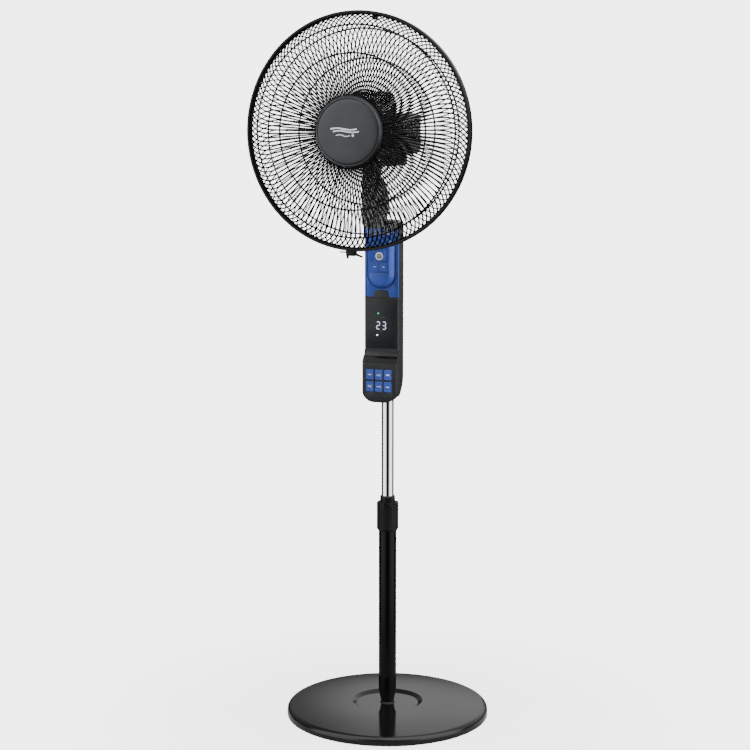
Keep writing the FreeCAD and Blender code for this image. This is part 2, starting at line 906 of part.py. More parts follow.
def make_swivel_post():
    foot = gear_top - gear_t - 1.5
    return pipe(post_r, post_bore_r, V(0, 0, foot), V(0, 0, neck_foot + turntable_h - 1.5))


def make_swivel_gear():
    return involute_gear(gear_teeth, pinion_bearing, V(0, 0, 0), gear_top - gear_t, gear_top, post_r)


def make_drive_pinion():
    turn = pinion_bearing + 180 + 180.0 / pinion_teeth
    gear = involute_gear(pinion_teeth, turn, V(pinion_x, pinion_y, 0), gear_top - gear_t, gear_top,
                         pinion_shaft_r)
    shaft = rod(pinion_shaft_r, V(pinion_x, pinion_y, gear_top - gear_t - 10),
                V(pinion_x, pinion_y, gear_top))
    return join([gear, shaft])


def make_swing_motor():
    top = gear_top - gear_t - 2
    can = rod(osc_motor_r, V(pinion_x, pinion_y, top - osc_motor_h), V(pinion_x, pinion_y, top))
    hole = rod(pinion_shaft_r + run_fit, V(pinion_x, pinion_y, top - 9), V(pinion_x, pinion_y, top + 1))
    ears = block(pinion_x - 15, pinion_x + 8, pinion_y - 3, pinion_y + 3, top - 1.5, top)
    ears = ears.cut(rod(post_r + 3.5, V(0, 0, top - 3), V(0, 0, top + 1)))
    return join([can, ears]).cut(hole)


def neck_volume():
    """The neck's arm: its front outline and its side outline, crossed."""
    eye_top = pin_z + eye_r
    front = plate_xz([
        (arm_left + 1.0, neck_foot),
        (arm_left, arm_bulge_z),
        (arm_left, eye_top + 1),
        (arm_eye_side, eye_top + 1),
        (arm_eye_side, pin_z - 30),
        ((arm_bulge, arm_bulge_z + 6), (arm_right, neck_foot))], arm_front - 8, arm_back + 8)
    lean = eye_r * 0.8
    side = plate_yz([
        (arm_front, neck_foot),
        (arm_front + 1, arm_bulge_z),
        (pin_y - eye_r, pin_z - 16),
        (pin_y - eye_r, pin_z),
        ((pin_y, eye_top), (pin_y + eye_r, pin_z)),
        (pin_y + eye_r, pin_z - lean - 10),
        (arm_back, arm_bulge_z),
        (arm_back, neck_foot)], arm_left - 1, arm_bulge + 5)
    return front.common(side)


def make_neck_arm():
    arm = neck_volume()
    foot_top = neck_foot + turntable_h
    table = rod(turntable_r, V(0, 0, neck_foot), V(0, 0, foot_top))
    table = table.makeFillet(2.5, [edge for edge in table.Edges if edge.BoundBox.ZMin > foot_top - 0.01])
    neck = join([arm, table])
    neck = neck.cut(rod(post_r, V(0, 0, neck_foot - 1), V(0, 0, foot_top - 1.5)))
    neck = neck.cut(rod(pin_r, V(arm_left - 1, pin_y, pin_z), V(arm_eye_side + 1, pin_y, pin_z)))
    return neck.cut(neck_channel(0))


def neck_channel(inset):
    """The wire channel in the back of the arm."""
    return block(arm_left + 9 + inset, arm_eye_side - 6 - inset, arm_back - 9, arm_back + 1,
                 neck_foot + 14 + inset, arm_bulge_z + 12 - inset)


def make_neck_cover():
    return neck_channel(0.2).common(block(-60, 60, arm_back - 3, arm_back - 0.5, neck_foot, head_z))


def make_tilt_pin():
    return rod(pin_r, V(arm_left - knob_l + 5, pin_y, pin_z), V(bracket_right, pin_y, pin_z))


def make_tilt_knob():
    start = arm_left - 0.3
    knob = rod(knob_r, V(start - knob_l, pin_y, pin_z), V(start, pin_y, pin_z))
    knob = knob.makeFillet(1.5, [edge for edge in knob.Edges if edge.BoundBox.XMax < start - 1])
    grip_z = pin_z + knob_r + 0.9
    grip = rod(2.0, V(start - knob_l - 1, pin_y, grip_z), V(start - 3, pin_y, grip_z))
    for cutter in spread(grip, 10, 0.0, V(0, pin_y, pin_z), SIDE):
        knob = knob.cut(cutter)
    bore_end = arm_left - knob_l + 5 - 0.4
    return knob.cut(rod(pin_r + run_fit, V(bore_end, pin_y, pin_z), V(start + 1, pin_y, pin_z)))


# --- head ---------------------------------------------------------------------------
def make_tilt_bracket():
    top = head_z - motor_down
    bottom = head_z - bracket_bottom_drop
    front = pin_y - (pin_z - bottom)
    bend = (pin_z - bottom) * math.sqrt(0.5)
    steps = [
        (pin_y, bottom),
        (bracket_back - 6, bottom),
        ((bracket_back - 1.8, bottom + 1.8), (bracket_back, bottom + 6)),
        (bracket_back, top),
        (front, top),
        (front, pin_z),
        ((pin_y - bend, pin_z - bend), (pin_y, bottom))]
    body = plate_yz(steps, bracket_left, bracket_right)
    bore = rod(pin_r + run_fit, V(bracket_left - 1, pin_y, pin_z), V(bracket_right + 1, pin_y, pin_z))
    return body.cut(bore)


def rounded_box(half_w, y0, y1, down, up, along, ends):
    """A box about the blade axis with its long edges rounded and its rear edges rounded."""
    body = block(-half_w, half_w, y0, y1, head_z - down, head_z + up)
    body = round_edges(body, along, lambda edge: runs_along(edge, BACK))
    return round_edges(body, ends, lambda edge: edge.BoundBox.YMin > y1 - 0.01)


def make_motor_rear_cover():
    outside = rounded_box(motor_half_w, motor_split, motor_back, motor_down, motor_up, motor_round, 10)
    inside = rounded_box(motor_half_w - motor_wall, motor_split - 1, motor_back - motor_wall,
                         motor_down - motor_wall, motor_up - motor_wall, motor_round - motor_wall, 7.5)
    cover = outside.cut(inside)
    slots = []
    for index in range(7):
        z = head_z - 24 + index * 7
        slots.append(block(-26, 26, motor_back - 6, motor_back + 1, z - 1.3, z + 1.3))
    for index in range(6):
        y = motor_back - 62 + index * 7
        for side in (-1, 1):
            x = side * motor_half_w
            slots.append(block(x - 4, x + 4, y - 1.3, y + 1.3, head_z - 22, head_z + 14))
    return cover.cut(Part.makeCompound(slots))


def front_cover_volume(inset):
    half_w = motor_half_w - inset
    body = block(-half_w, half_w, motor_front + inset, motor_split - inset,
                 head_z - motor_front_down + inset, head_z + motor_front_up - inset)
    body = round_edges(body, motor_round + 3 - inset, lambda edge: runs_along(edge, BACK))
    if inset:
        return body
    body = round_edges(body, 3, lambda edge: edge.BoundBox.YMax < motor_front + 0.01)
    return round_edges(body, 7, lambda edge: edge.BoundBox.YMin > motor_split - 0.01)


def make_motor_front_cover():
    cover = front_cover_volume(0).cut(front_cover_volume(motor_wall))
    opening = block(-motor_half_w + 12, motor_half_w - 12, motor_split - motor_wall - 1, motor_split + 1,
                    head_z - motor_down + 10, head_z + motor_up - 6)
    cover = cover.cut(opening)
    boss = head_disc(boss_r, boss_front, motor_front + motor_wall)
    seat = head_disc(bearing_r + 3, motor_front, motor_front + 14)
    cover = join([cover, boss, seat])
    cover = cover.cut(head_disc(shaft_r + 1, boss_front - 1, motor_front + 20))
    cover = cover.cut(head_disc(bearing_r, motor_front + 14 - bearing_w, motor_front + 20))
    slots = []
    for index in range(front_slot_count):
        x = front_slot_pitch * (index - (front_slot_count - 1) / 2)
        slots.append(block(x - 2, x + 2, motor_front - 1, motor_split + 1,
                           head_z + motor_front_up - 14, head_z + motor_front_up - 5))
    for row in range(4):
        depth = motor_split + 1 if row < 2 else motor_front + 4
        for column in range(front_hole_count):
            x = front_hole_pitch * (column - (front_hole_count - 1) / 2)
            z = head_z - motor_front_down + 8 + 5.5 * row
            slots.append(block(x - 2.6, x + 2.6, motor_front - 1, depth, z - 1.3, z + 1.3))
    return cover.cut(Part.makeCompound(slots))


def make_stator():
    core = head_ring(stator_r, stator_bore_r, stator_front, stator_back)
    coil = head_ring(stator_r - 4, stator_bore_r + 3, stator_front - 8, stator_front)
    return join([core, coil])


def make_end_bell():
    bell = head_disc(stator_r, stator_back, stator_back + 4)
    seat = head_disc(bearing_r + 3, stator_back, shaft_back + 2)
    bell = join([bell, seat]).cut(head_disc(shaft_r + 1, stator_back - 1, shaft_back + 3))
    return bell.cut(head_disc(bearing_r, shaft_back + 2 - bearing_w, shaft_back + 3))


def make_motor_bearings():
    front = head_ring(bearing_r, shaft_r + run_fit, motor_front + 14 - bearing_w, motor_front + 14)
    rear = head_ring(bearing_r, shaft_r + run_fit, shaft_back + 2 - bearing_w, shaft_back + 2)
    return Part.makeCompound([front, rear])


def make_rotor():
    return head_ring(stator_bore_r - rotor_gap, shaft_r, stator_front + 1, stator_back - 1)


def make_motor_shaft():
    return head_disc(shaft_r, shaft_front, shaft_back + 2)


# --- guards -----------------------------------------------------------------------
def guard_windows(bands, y0, y1, turn):
    """The openings between wires and rings, as prisms through the guard."""
    prisms = []
    for inner, outer in bands:
        for index in range(wire_count):
            corners = []
            for radius in (inner, outer):
                lean = turn * (radius - guard_hub_r) / (rim_r - guard_hub_r)
                half = math.degrees(wire_w / 2 / radius)
                low = 360.0 / wire_count * index + lean + half
                high = 360.0 / wire_count * (index + 1) + lean - half
                corners.append([(radius, low), (radius, (low + high) / 2), (radius, high)])
            points = []
            for ring in corners:
                points.append([V(r * math.cos(math.radians(a)), y0, head_z + r * math.sin(math.radians(a)))
                               for r, a in ring])
            near, far = points
            outline = face_through([near[0], (near[1], near[2]), far[2], (far[1], far[0])])
            prisms.append(outline.extrude(V(0, y1 - y0, 0)))
    return Part.makeCompound(prisms)


def guard_shell(points):
    """A thin shell of revolution through (radius, y) points, wire_t deep along Y."""
    front = Part.BSplineCurve()
    front.interpolate([V(r, y, head_z) for r, y in points])
    back = Part.BSplineCurve()
    back.interpolate([V(r, y + wire_t, head_z) for r, y in points])
    first, last = points[0], points[-1]
    edges = [
        front.toShape(),
        Part.LineSegment(V(last[0], last[1], head_z), V(last[0], last[1] + wire_t, head_z)).toShape(),
        back.toShape(),
        Part.LineSegment(V(first[0], first[1] + wire_t, head_z), V(first[0], first[1], head_z)).toShape()]
    return Part.Face(Part.Wire(Part.__sortEdges__(edges))).revolve(hub_point, BACK, 360)


def guard_bands(hub_edge):
    edges = [hub_edge]
    for radius in ring_radii:
        edges += [radius - ring_w / 2, radius + ring_w / 2]
    edges.append(rim_r - rim_w)
    return [(edges[index], edges[index + 1]) for index in range(0, len(edges), 2)]


def make_front_guard():
    shell = guard_shell([(guard_hub_r - 8, badge_back + 0.4), (rim_r * 0.464, -203), (rim_r * 0.655, -197.5),
                         (rim_r * 0.812, -189.5), (rim_r * 0.891, -183.5), (rim_r * 0.947, -176.5),
                         (rim_r - 3, rim_front_y + 0.8)])
    shell = shell.cut(guard_windows(guard_bands(guard_hub_r), -230, rim_front_y + 12, swirl))
    rim = head_ring(rim_r, rim_r - rim_w, rim_front_y, rim_front_y + rim_depth)
    return join([shell, rim])


def make_rear_guard():
    shell = guard_shell([(guard_plate_r - 4, motor_front - wire_t - 0.1), (rim_r * 0.464, -106),
                         (rim_r * 0.622, -118.5), (rim_r * 0.766, -130.5), (rim_r * 0.868, -140.5),
                         (rim_r * 0.947, -151), (rim_r - 3, rim_rear_y - 2.6)])
    shell = shell.cut(guard_windows(guard_bands(guard_plate_r), -175, motor_front + 1, -swirl))
    rim = head_ring(rim_r, rim_r - rim_w, rim_rear_y - rim_depth, rim_rear_y)
    plate = head_ring(guard_plate_r, boss_r + 0.2, motor_front - guard_plate_t, motor_front)
    return join([shell, rim, plate])


def make_guard_nut():
    start = motor_front - guard_plate_t
    nut = head_ring(guard_nut_r, boss_r, start - guard_nut_h, start)
    bar = rod(1.6, V(0, start - guard_nut_h - 1, head_z + guard_nut_r + 0.6),
              V(0, start - 2, head_z + guard_nut_r + 0.6))
    return nut.cut(Part.makeCompound(spread(bar, 16, 0.0, hub_point, BACK)))


def dome_step(edge_r, edge_y, crown_y):
    """An arc step to the blade axis, round about a centre that lies on it."""
    rise = edge_y - crown_y
    ball = (edge_r ** 2 + rise ** 2) / (2 * rise)
    half = math.asin(edge_r / ball) / 2
    return ((ball * math.sin(half), crown_y + ball * (1 - math.cos(half))), (0, crown_y))


def make_hub_badge():
    face_edge = badge_front + 2.2
    return turned_head([
        (0, badge_back),
        (badge_r - 1, badge_back),
        (badge_r, badge_back - 1),
        (badge_r, badge_back - 3),
        (badge_face_r + 1.5, face_edge - 0.6),
        (badge_face_r + 0.5, face_edge - 0.6),
        (badge_face_r, face_edge),
        dome_step(badge_face_r, face_edge, badge_front)])


def top_clip():
    inner = rim_r - rim_w - 8
    outer = guard_r - band_wall / 2
    tab = plate_xz([(-7, head_z + outer), (7, head_z + outer), (5, head_z + inner), (-5, head_z + inner)],
                   rim_front_y + rim_depth + 0.1, rim_rear_y - rim_depth - 0.1)
    tab.rotate(hub_point, BACK, clip_turn)
    return tab


def make_rim_band():
    outer = guard_r
    inner = guard_r - band_wall
    lip = inner - band_lip
    channel = turned_head([
        (lip, band_front),
        (outer - 1, band_front),
        (outer, band_front + 1.5),
        (outer, band_back - 1.5),
        (outer - 1, band_back),
        (lip, band_back),
        (lip, rim_rear_y + 0.1),
        (inner, rim_rear_y + 0.1),
        (inner, rim_front_y - 0.1),
        (lip, rim_front_y - 0.1)])
    return join([channel, top_clip()])


def make_latch_body():
    y0, y1 = band_front + 2, band_back - 2
    body = block(latch_x - latch_half, latch_x + latch_half, y0, y1, latch_top - 9, latch_top + 1)
    body = body.cut(head_disc(guard_r, y0 - 1, y1 + 1))
    slot = block(latch_x - latch_half + 3, latch_x + latch_half + 1, y0 + 3, y1 - 3,
                 latch_top - 10, latch_top + 1)
    hook = block(latch_x - latch_half - 14, latch_x - latch_half, (y0 + y1) / 2 - 1.2, (y0 + y1) / 2 + 1.2,
                 latch_top - 3.5, latch_top - 1.0)
    horn = block(latch_x - latch_half, latch_x - latch_half + 3, y0 + 3, y1 - 3,
                 latch_top - 14, latch_top - 8)
    pin = rod(latch_pin_r, V(latch_x - 2, y0, latch_pin_z), V(latch_x - 2, y1, latch_pin_z))
    return join([join([body, hook, horn]).cut(slot), pin])


def make_latch_lever():
    y0, y1 = band_front + 5.3, band_back - 5.3
    x = latch_x - 2
    lever = plate_xz([
        (x - 2.5, latch_pin_z - 2.2),
        ((x - 3.2, latch_pin_z), (x, latch_pin_z + 3.2)),
        (x + 12, latch_pin_z + 0.5),
        (x + 24, latch_pin_z - 4.0),
        (x + 23, latch_pin_z - 7.0),
        (x + 11, latch_pin_z - 3.2)], y0, y1)
    return lever.cut(rod(latch_pin_r + run_fit, V(x, y0 - 1, latch_pin_z), V(x, y1 + 1, latch_pin_z)))


# --- blade ------------------------------------------------------------------------
def blade_section(radius, chord, pitch, sweep, sag):
    """A thin cambered section square to the radius, its chord set at the pitch angle."""
    points = []
    for share, lift in ((-0.5, 0.0), (0.0, sag), (0.5, 0.0)):
        along = share * chord
        angle = math.radians(pitch)
        points.append((along * math.cos(angle) - lift * math.sin(angle),
                       along * math.sin(angle) + lift * math.cos(angle)))
    shifted = []
    for across, deep in points:
        shifted.append((across + sweep, deep + blade_mid_y))
    low = [V(radius, deep, head_z + across) for across, deep in shifted]
    high = [V(radius, deep - blade_t, head_z + across) for across, deep in shifted]
    edges = [
        Part.Arc(low[0], low[1], low[2]).toShape(),
        Part.LineSegment(low[2], high[2]).toShape(),
        Part.Arc(high[2], high[1], high[0]).toShape(),
        Part.LineSegment(high[0], low[0]).toShape()]
    return Part.Wire(edges)


def make_fan_blade():
    root = blade_hub_r - blade_hub_wall / 2
    span = blade_r - root
    sections = []
    for share, chord, pitch, sweep, sag in (
            (0.0, 46, 34, 0, 3), (0.25, 84, 30, 7, 5), (0.55, 118, 25, 14, 7),
            (0.8, 128, 21, 16, 7), (0.94, 112, 19, 14, 6), (1.0, 84, 18, 12, 4)):
        radius = math.sqrt(max((root + span * share) ** 2 - (chord * 0.35) ** 2, root ** 2 * 0.8))
        sections.append(blade_section(radius, chord, pitch, sweep, sag))
    vane = Part.makeLoft(sections, True, False)
    vanes = spread(vane, blade_count, 90.0, hub_point, BACK)
    inside = blade_hub_r - blade_hub_wall
    hub = turned_head([
        (shaft_r, blade_hub_front),
        (inside - 6, blade_hub_front),
        ((blade_hub_r - 3, blade_hub_front + 3), (blade_hub_r, blade_hub_front + 10)),
        (blade_hub_r, blade_hub_back),
        (inside, blade_hub_back),
        (inside, blade_hub_front + 12),
        (shaft_r + 5, blade_hub_front + 5),
        (shaft_r + 5, blade_hub_back + 8),
        (shaft_r, blade_hub_back + 8)])
    return join([hub] + vanes).cut(head_ring(inside, shaft_r + 5, blade_hub_front + 12, blade_hub_back + 1))


def make_spinner_nut():
    nut = turned_head([
        (0, spinner_front),
        (spinner_r - 7, spinner_front),
        ((spinner_r - 2, spinner_front + 3), (spinner_r, spinner_front + 9)),
        (spinner_r, blade_hub_front),
        (shaft_r, blade_hub_front),
        (shaft_r, shaft_front - 0.5),
        (0, shaft_front - 0.5)])
    grip_z = head_z + spinner_r + 0.4
    grip = rod(1.5, V(0, spinner_front - 1, grip_z), V(0, blade_hub_front - 3, grip_z))
    return nut.cut(Part.makeCompound(spread(grip, 12, 0.0, hub_point, BACK)))


# --- every piece, by the name of its file ---------------------------------------------
os.makedirs("parts", exist_ok=True)

makers = {
    "base_cover": make_base_cover,
    "base_weight": make_base_weight,
    "base_feet": make_base_feet,
    "base_bolt": make_base_bolt,
    "pole_foot": make_pole_foot,
    "outer_pole": make_outer_pole,
    "collar_seat": make_collar_seat,
    "collet": make_collet,
    "height_collar": make_height_collar,
    "inner_pole": make_inner_pole,
    "pole_plug": make_pole_plug,
    "column_front": make_column_front,
    "column_rear": make_column_rear,
    "column_cap": make_column_cap,
    "blue_panel": make_blue_panel,
    "display_lens": make_display_lens,
    "control_boards": make_control_boards,
    "main_board": make_main_board,
    "pole_socket": make_pole_socket,
    "column_screws": make_column_screws,
    "lead_gland": make_lead_gland,
    "remote_front": make_remote_front,
    "remote_back": make_remote_back,
    "battery_door": make_battery_door,
    "batteries": make_batteries,
    "remote_board": make_remote_board,
    "power_button": make_power_button,
    "swivel_post": make_swivel_post,
    "swivel_gear": make_swivel_gear,
    "drive_pinion": make_drive_pinion,
    "swing_motor": make_swing_motor,
    "neck_arm": make_neck_arm,
    "neck_cover": make_neck_cover,
    "tilt_pin": make_tilt_pin,
    "tilt_knob": make_tilt_knob,
    "tilt_bracket": make_tilt_bracket,
    "motor_rear_cover": make_motor_rear_cover,
    "motor_front_cover": make_motor_front_cover,
    "stator": make_stator,
    "end_bell": make_end_bell,
    "motor_bearings": make_motor_bearings,
    "rotor": make_rotor,
    "motor_shaft": make_motor_shaft,
    "front_guard": make_front_guard,
    "rear_guard": make_rear_guard,
    "guard_nut": make_guard_nut,
    "rim_band": make_rim_band,
    "hub_badge": make_hub_badge,
    "latch_body": make_latch_body,
    "latch_lever": make_latch_lever,
    "fan_blade": make_fan_blade,
    "spinner_nut": make_spinner_nut,
}

pieces = {name: maker() for name, maker in makers.items()}
for name, place in zip(key_names, key_places()):
    pieces["key_" + name] = make_key(*place)
for name, x in (("minus", -pair_x), ("plus", pair_x)):
    pieces["remote_" + name] = make_pair_button(x)

for name, shape in pieces.items():
    shape.exportStep("parts/%s.step" % name)
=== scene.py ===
import json
import math
import bpy
from mathutils import Matrix, Vector


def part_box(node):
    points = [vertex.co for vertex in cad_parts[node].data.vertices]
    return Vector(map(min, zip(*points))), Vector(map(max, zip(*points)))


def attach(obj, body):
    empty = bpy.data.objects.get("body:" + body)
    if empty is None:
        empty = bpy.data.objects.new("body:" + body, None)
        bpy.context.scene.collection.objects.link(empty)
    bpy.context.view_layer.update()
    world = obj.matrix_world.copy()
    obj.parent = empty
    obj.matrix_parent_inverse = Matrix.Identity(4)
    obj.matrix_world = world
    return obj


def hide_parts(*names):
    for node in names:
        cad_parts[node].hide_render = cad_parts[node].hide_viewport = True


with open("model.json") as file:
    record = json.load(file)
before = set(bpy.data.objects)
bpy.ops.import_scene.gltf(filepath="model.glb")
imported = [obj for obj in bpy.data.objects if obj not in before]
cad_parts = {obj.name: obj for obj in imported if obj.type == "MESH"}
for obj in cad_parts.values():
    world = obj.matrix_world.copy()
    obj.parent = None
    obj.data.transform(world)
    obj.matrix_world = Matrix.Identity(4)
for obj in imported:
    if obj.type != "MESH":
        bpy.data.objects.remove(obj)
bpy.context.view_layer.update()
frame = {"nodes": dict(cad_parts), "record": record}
print("frame loaded:", len(frame["nodes"]), "nodes")

mm = 0.001
fullTurn = 2 * math.pi

# the hub badge says where the blade axis is (metres)
badgeLow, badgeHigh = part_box("hub_badge")
hub = Vector((0, 0, (badgeLow.z + badgeHigh.z) / 2))

# how edges are softened and seams welded: angles in degrees, distances in metres
edges = {"bevelSteps": 2, "bevelOver": 30, "smoothUnder": 35, "weld": 1e-6, "weldCopy": 2e-6,
         "flatUnder": 1.0}


def clearSelection():
    if bpy.context.object and bpy.context.object.mode != "OBJECT":
        bpy.ops.object.mode_set(mode="OBJECT")
    bpy.ops.object.select_all(action="DESELECT")


def pick(piece):
    clearSelection()
    piece.select_set(True)
    bpy.context.view_layer.objects.active = piece
    return piece


def startEdit():  # edit mode, with the whole mesh selected
    bpy.ops.object.mode_set(mode="EDIT")
    bpy.ops.mesh.select_all(action="SELECT")


def endEdit():
    bpy.ops.object.mode_set(mode="OBJECT")


def newest(name):
    piece = bpy.context.object
    piece.name = name
    piece.data.name = name
    return piece


def freeze(piece):  # puts the place, turn and size into the mesh
    pick(piece)
    bpy.ops.object.transform_apply(location=True, rotation=True, scale=True)
    return piece


def applyModifier(piece, kind, **settings):
    pick(piece)
    modifier = piece.modifiers.new(kind.title(), kind)
    for key, value in settings.items():
        setattr(modifier, key, value)
    bpy.ops.object.modifier_apply(modifier=modifier.name)
    return piece


def bevelEdges(piece, width):
    applyModifier(piece, "BEVEL", width=width, segments=edges["bevelSteps"], limit_method="ANGLE",
                  angle_limit=math.radians(edges["bevelOver"]), harden_normals=False)
    return smooth(piece)


def smooth(piece, angle=edges["smoothUnder"]):
    pick(piece)
    bpy.ops.object.shade_smooth_by_angle(angle=math.radians(angle))
    return piece


def tidyMesh(piece):  # welds the seams and turns every face outwards
    pick(piece)
    startEdit()
    bpy.ops.mesh.remove_doubles(threshold=edges["weld"])
    bpy.ops.mesh.normals_make_consistent(inside=False)
    endEdit()
    return piece


def joinAll(pieces, name):
    clearSelection()
    for piece in pieces:
        piece.select_set(True)
    bpy.context.view_layer.objects.active = pieces[0]
    if len(pieces) > 1:
        bpy.ops.object.join()
    return newest(name)


def drawOutline(points, filled=False):  # a circle whose points are moved onto the outline
    clearSelection()
    bpy.ops.mesh.primitive_circle_add(vertices=len(points), fill_type="NGON" if filled else "NOTHING")
    for vertex, point in zip(bpy.context.object.data.vertices, points):
        vertex.co = point


def spinAround(name, points, centre, axis, steps):  # one full turn of an outline
    drawOutline(points)
    startEdit()
    bpy.ops.mesh.spin(steps=steps, angle=fullTurn, center=centre, axis=axis)
    endEdit()
    return tidyMesh(freeze(newest(name)))


def spinOutline(name, profile, steps=96):  # (radius, depth) round the blade axis
    points = [(radius, depth, hub.z) for radius, depth in profile]
    return spinAround(name, points, tuple(hub), (0, 1, 0), steps)


def turnUpright(name, profile, steps=96):  # (radius, height) round the pole's axis
    points = [(radius, 0, height) for radius, height in profile]
    return smooth(spinAround(name, points, (0, 0, 0), (0, 0, 1), steps))


def pushOutline(name, points, push):  # fills an outline and extrudes it
    drawOutline(points, filled=True)
    startEdit()
    bpy.ops.mesh.extrude_region_move(TRANSFORM_OT_translate={"value": push})
    endEdit()
    return tidyMesh(freeze(newest(name)))


def addBox(name, low, high):
    clearSelection()
    centre = [(a + b) / 2 for a, b in zip(low, high)]
    size = [b - a for a, b in zip(low, high)]
    bpy.ops.mesh.primitive_cube_add(size=1, location=centre, scale=size)
    return freeze(newest(name))


def addDisc(name, radius, thickness, centre, vertices):  # a short cylinder that faces along Y
    clearSelection()
    bpy.ops.mesh.primitive_cylinder_add(vertices=vertices, radius=radius, depth=thickness, location=centre,
                                        rotation=(math.pi / 2, 0, 0))
    return freeze(newest(name))


def addRing(name, radius, thickness, centre, segments, sides):
    clearSelection()
    bpy.ops.mesh.primitive_torus_add(location=centre, rotation=(math.pi / 2, 0, 0),
                                     major_radius=radius, minor_radius=thickness / 2,
                                     major_segments=segments, minor_segments=sides)
    piece = freeze(newest(name))
    bpy.ops.object.shade_smooth()
    return piece


def addTube(name, points, thickness, sides=6):  # a round wire with closed ends along a smooth path
    clearSelection()
    bpy.ops.curve.primitive_bezier_curve_add()
    curve = bpy.context.object
    spline = curve.data.splines[0]
    spline.bezier_points.add(len(points) - 2)
    for knot, point in zip(spline.bezier_points, points):
        knot.co = point
        knot.handle_left_type = knot.handle_right_type = "AUTO"
    curve.data.resolution_u = 3
    curve.data.bevel_depth = thickness / 2
    curve.data.bevel_resolution = max(0, sides // 2 - 2)
    curve.data.use_fill_caps = True
    pick(curve)
    bpy.ops.object.convert(target="MESH")
    return freeze(newest(name))


def copyAround(piece, count):  # copies round the blade axis, each with its own mesh
    copies = [piece]
    for index in range(1, count):
        turn = Matrix.Rotation(fullTurn * index / count, 4, Vector((0, 1, 0)))
        copy = piece.copy()
        copy.data = piece.data.copy()
        copy.data.transform(Matrix.Translation(hub) @ turn @ Matrix.Translation(-hub))
        bpy.context.collection.objects.link(copy)
        copies.append(copy)
    return copies


def takeNode(node, name, bevel):  # a welded copy of a CAD node, with softened edges
    source = frame["nodes"][node]
    piece = source.copy()
    piece.data = source.data.copy()
    piece.parent = None
    bpy.context.collection.objects.link(piece)
    pick(piece)
    newest(name)
    if piece.data.has_custom_normals:
        bpy.ops.mesh.customdata_custom_splitnormals_clear()
    startEdit()
    bpy.ops.mesh.remove_doubles(threshold=edges["weldCopy"])
    bpy.ops.mesh.dissolve_limited(angle_limit=math.radians(edges["flatUnder"]))
    endEdit()
    return bevelEdges(piece, bevel)


def place(piece, body, material, slotName, *nodes):  # what moves it, how it looks, what it stands for
    piece.data.materials.clear()
    piece.data.materials.append(material)
    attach(piece, body)
    if nodes:
        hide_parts(*nodes)
    return piece


# materials: one shader each, with noise on Object coordinates in its colour, roughness and bump
def newMaterial(name, **values):
    material = bpy.data.materials.new(name)
    material.use_nodes = True
    shader = material.node_tree.nodes["Principled BSDF"]
    for key, value in values.items():
        shader.inputs[key.replace("_", " ")].default_value = value
    return material


def addNode(material, kind, **inputs):
    node = material.node_tree.nodes.new(kind)
    for key, value in inputs.items():
        node.inputs[key.replace("_", " ")].default_value = value
    return node


def objectNoise(material, scale, detail, stretch=(1, 1, 1)):
    links = material.node_tree.links
    coords = addNode(material, "ShaderNodeTexCoord")
    mapping = addNode(material, "ShaderNodeMapping", Scale=stretch)
    noise = addNode(material, "ShaderNodeTexNoise", Scale=scale, Detail=detail)
    links.new(coords.outputs["Object"], mapping.inputs["Vector"])
    links.new(mapping.outputs["Vector"], noise.inputs["Vector"])
    return noise


def varyRoughness(material, scale, low, high, stretch=(1, 1, 1)):
    links = material.node_tree.links
    noise = objectNoise(material, scale, 4.0, stretch)
    spread = addNode(material, "ShaderNodeMapRange", From_Min=0.3, From_Max=0.7, To_Min=low, To_Max=high)
    links.new(noise.outputs["Fac"], spread.inputs["Value"])
    links.new(spread.outputs["Result"], material.node_tree.nodes["Principled BSDF"].inputs["Roughness"])


def varyColour(material, scale, dark, light):
    links = material.node_tree.links
    noise = objectNoise(material, scale, 5.0)
    ramp = addNode(material, "ShaderNodeValToRGB")
    for element, position, colour in zip(ramp.color_ramp.elements, (0.35, 0.65), (dark, light)):
        element.position = position
        element.color = (*colour, 1)
    links.new(noise.outputs["Fac"], ramp.inputs["Fac"])
    links.new(ramp.outputs["Color"], material.node_tree.nodes["Principled BSDF"].inputs["Base Color"])


def addGrain(material, scale, strength, depth=0.0002, stretch=(1, 1, 1)):
    links = material.node_tree.links
    noise = objectNoise(material, scale, 2.0, stretch)
    bump = addNode(material, "ShaderNodeBump", Strength=strength, Distance=depth)
    links.new(noise.outputs["Fac"], bump.inputs["Height"])
    links.new(bump.outputs["Normal"], material.node_tree.nodes["Principled BSDF"].inputs["Normal"])


glossPaint = {"dark": (0.003, 0.003, 0.003), "light": (0.005, 0.005, 0.006), "rough": (0.06, 0.12),
              "cloudScale": 9, "sheenScale": 14, "peelScale": 260, "peel": 0.05}
moulding = {"cloudScale": 22, "sheenScale": 45, "grainDepth": 0.0001}
satinPlastic = {"dark": (0.006, 0.006, 0.007), "light": (0.010, 0.010, 0.011), "rough": (0.36, 0.50),
                "grainScale": 1500, "grain": 0.30}
charcoalShell = {"dark": (0.020, 0.022, 0.024), "light": (0.028, 0.030, 0.033), "rough": (0.34, 0.46),
                 "grainScale": 1800, "grain": 0.22}
blueShell = {"dark": (0.040, 0.082, 0.40), "light": (0.050, 0.104, 0.48), "rough": (0.30, 0.42),
             "grainScale": 1600, "grain": 0.12}
chromeTube = {"colour": (0.86, 0.86, 0.84, 1), "rough": (0.015, 0.04), "sheenScale": 60,
              "drawn": (6, 6, 0.4)}
wirePaint = {"dark": (0.002, 0.002, 0.002), "light": (0.004, 0.004, 0.004), "rough": (0.24, 0.36),
             "cloudScale": 40, "sheenScale": 70, "grainScale": 500, "grain": 0.05, "specular": 0.12}
clearBlade = {"colour": (0.90, 0.92, 0.93, 1), "bending": 1.35, "rough": (0.02, 0.07), "sheenScale": 18,
              "waveScale": 60, "wave": 0.03, "waveDepth": 0.0003}
lampFace = {"sheenScale": 400, "rough": (0.35, 0.5)}


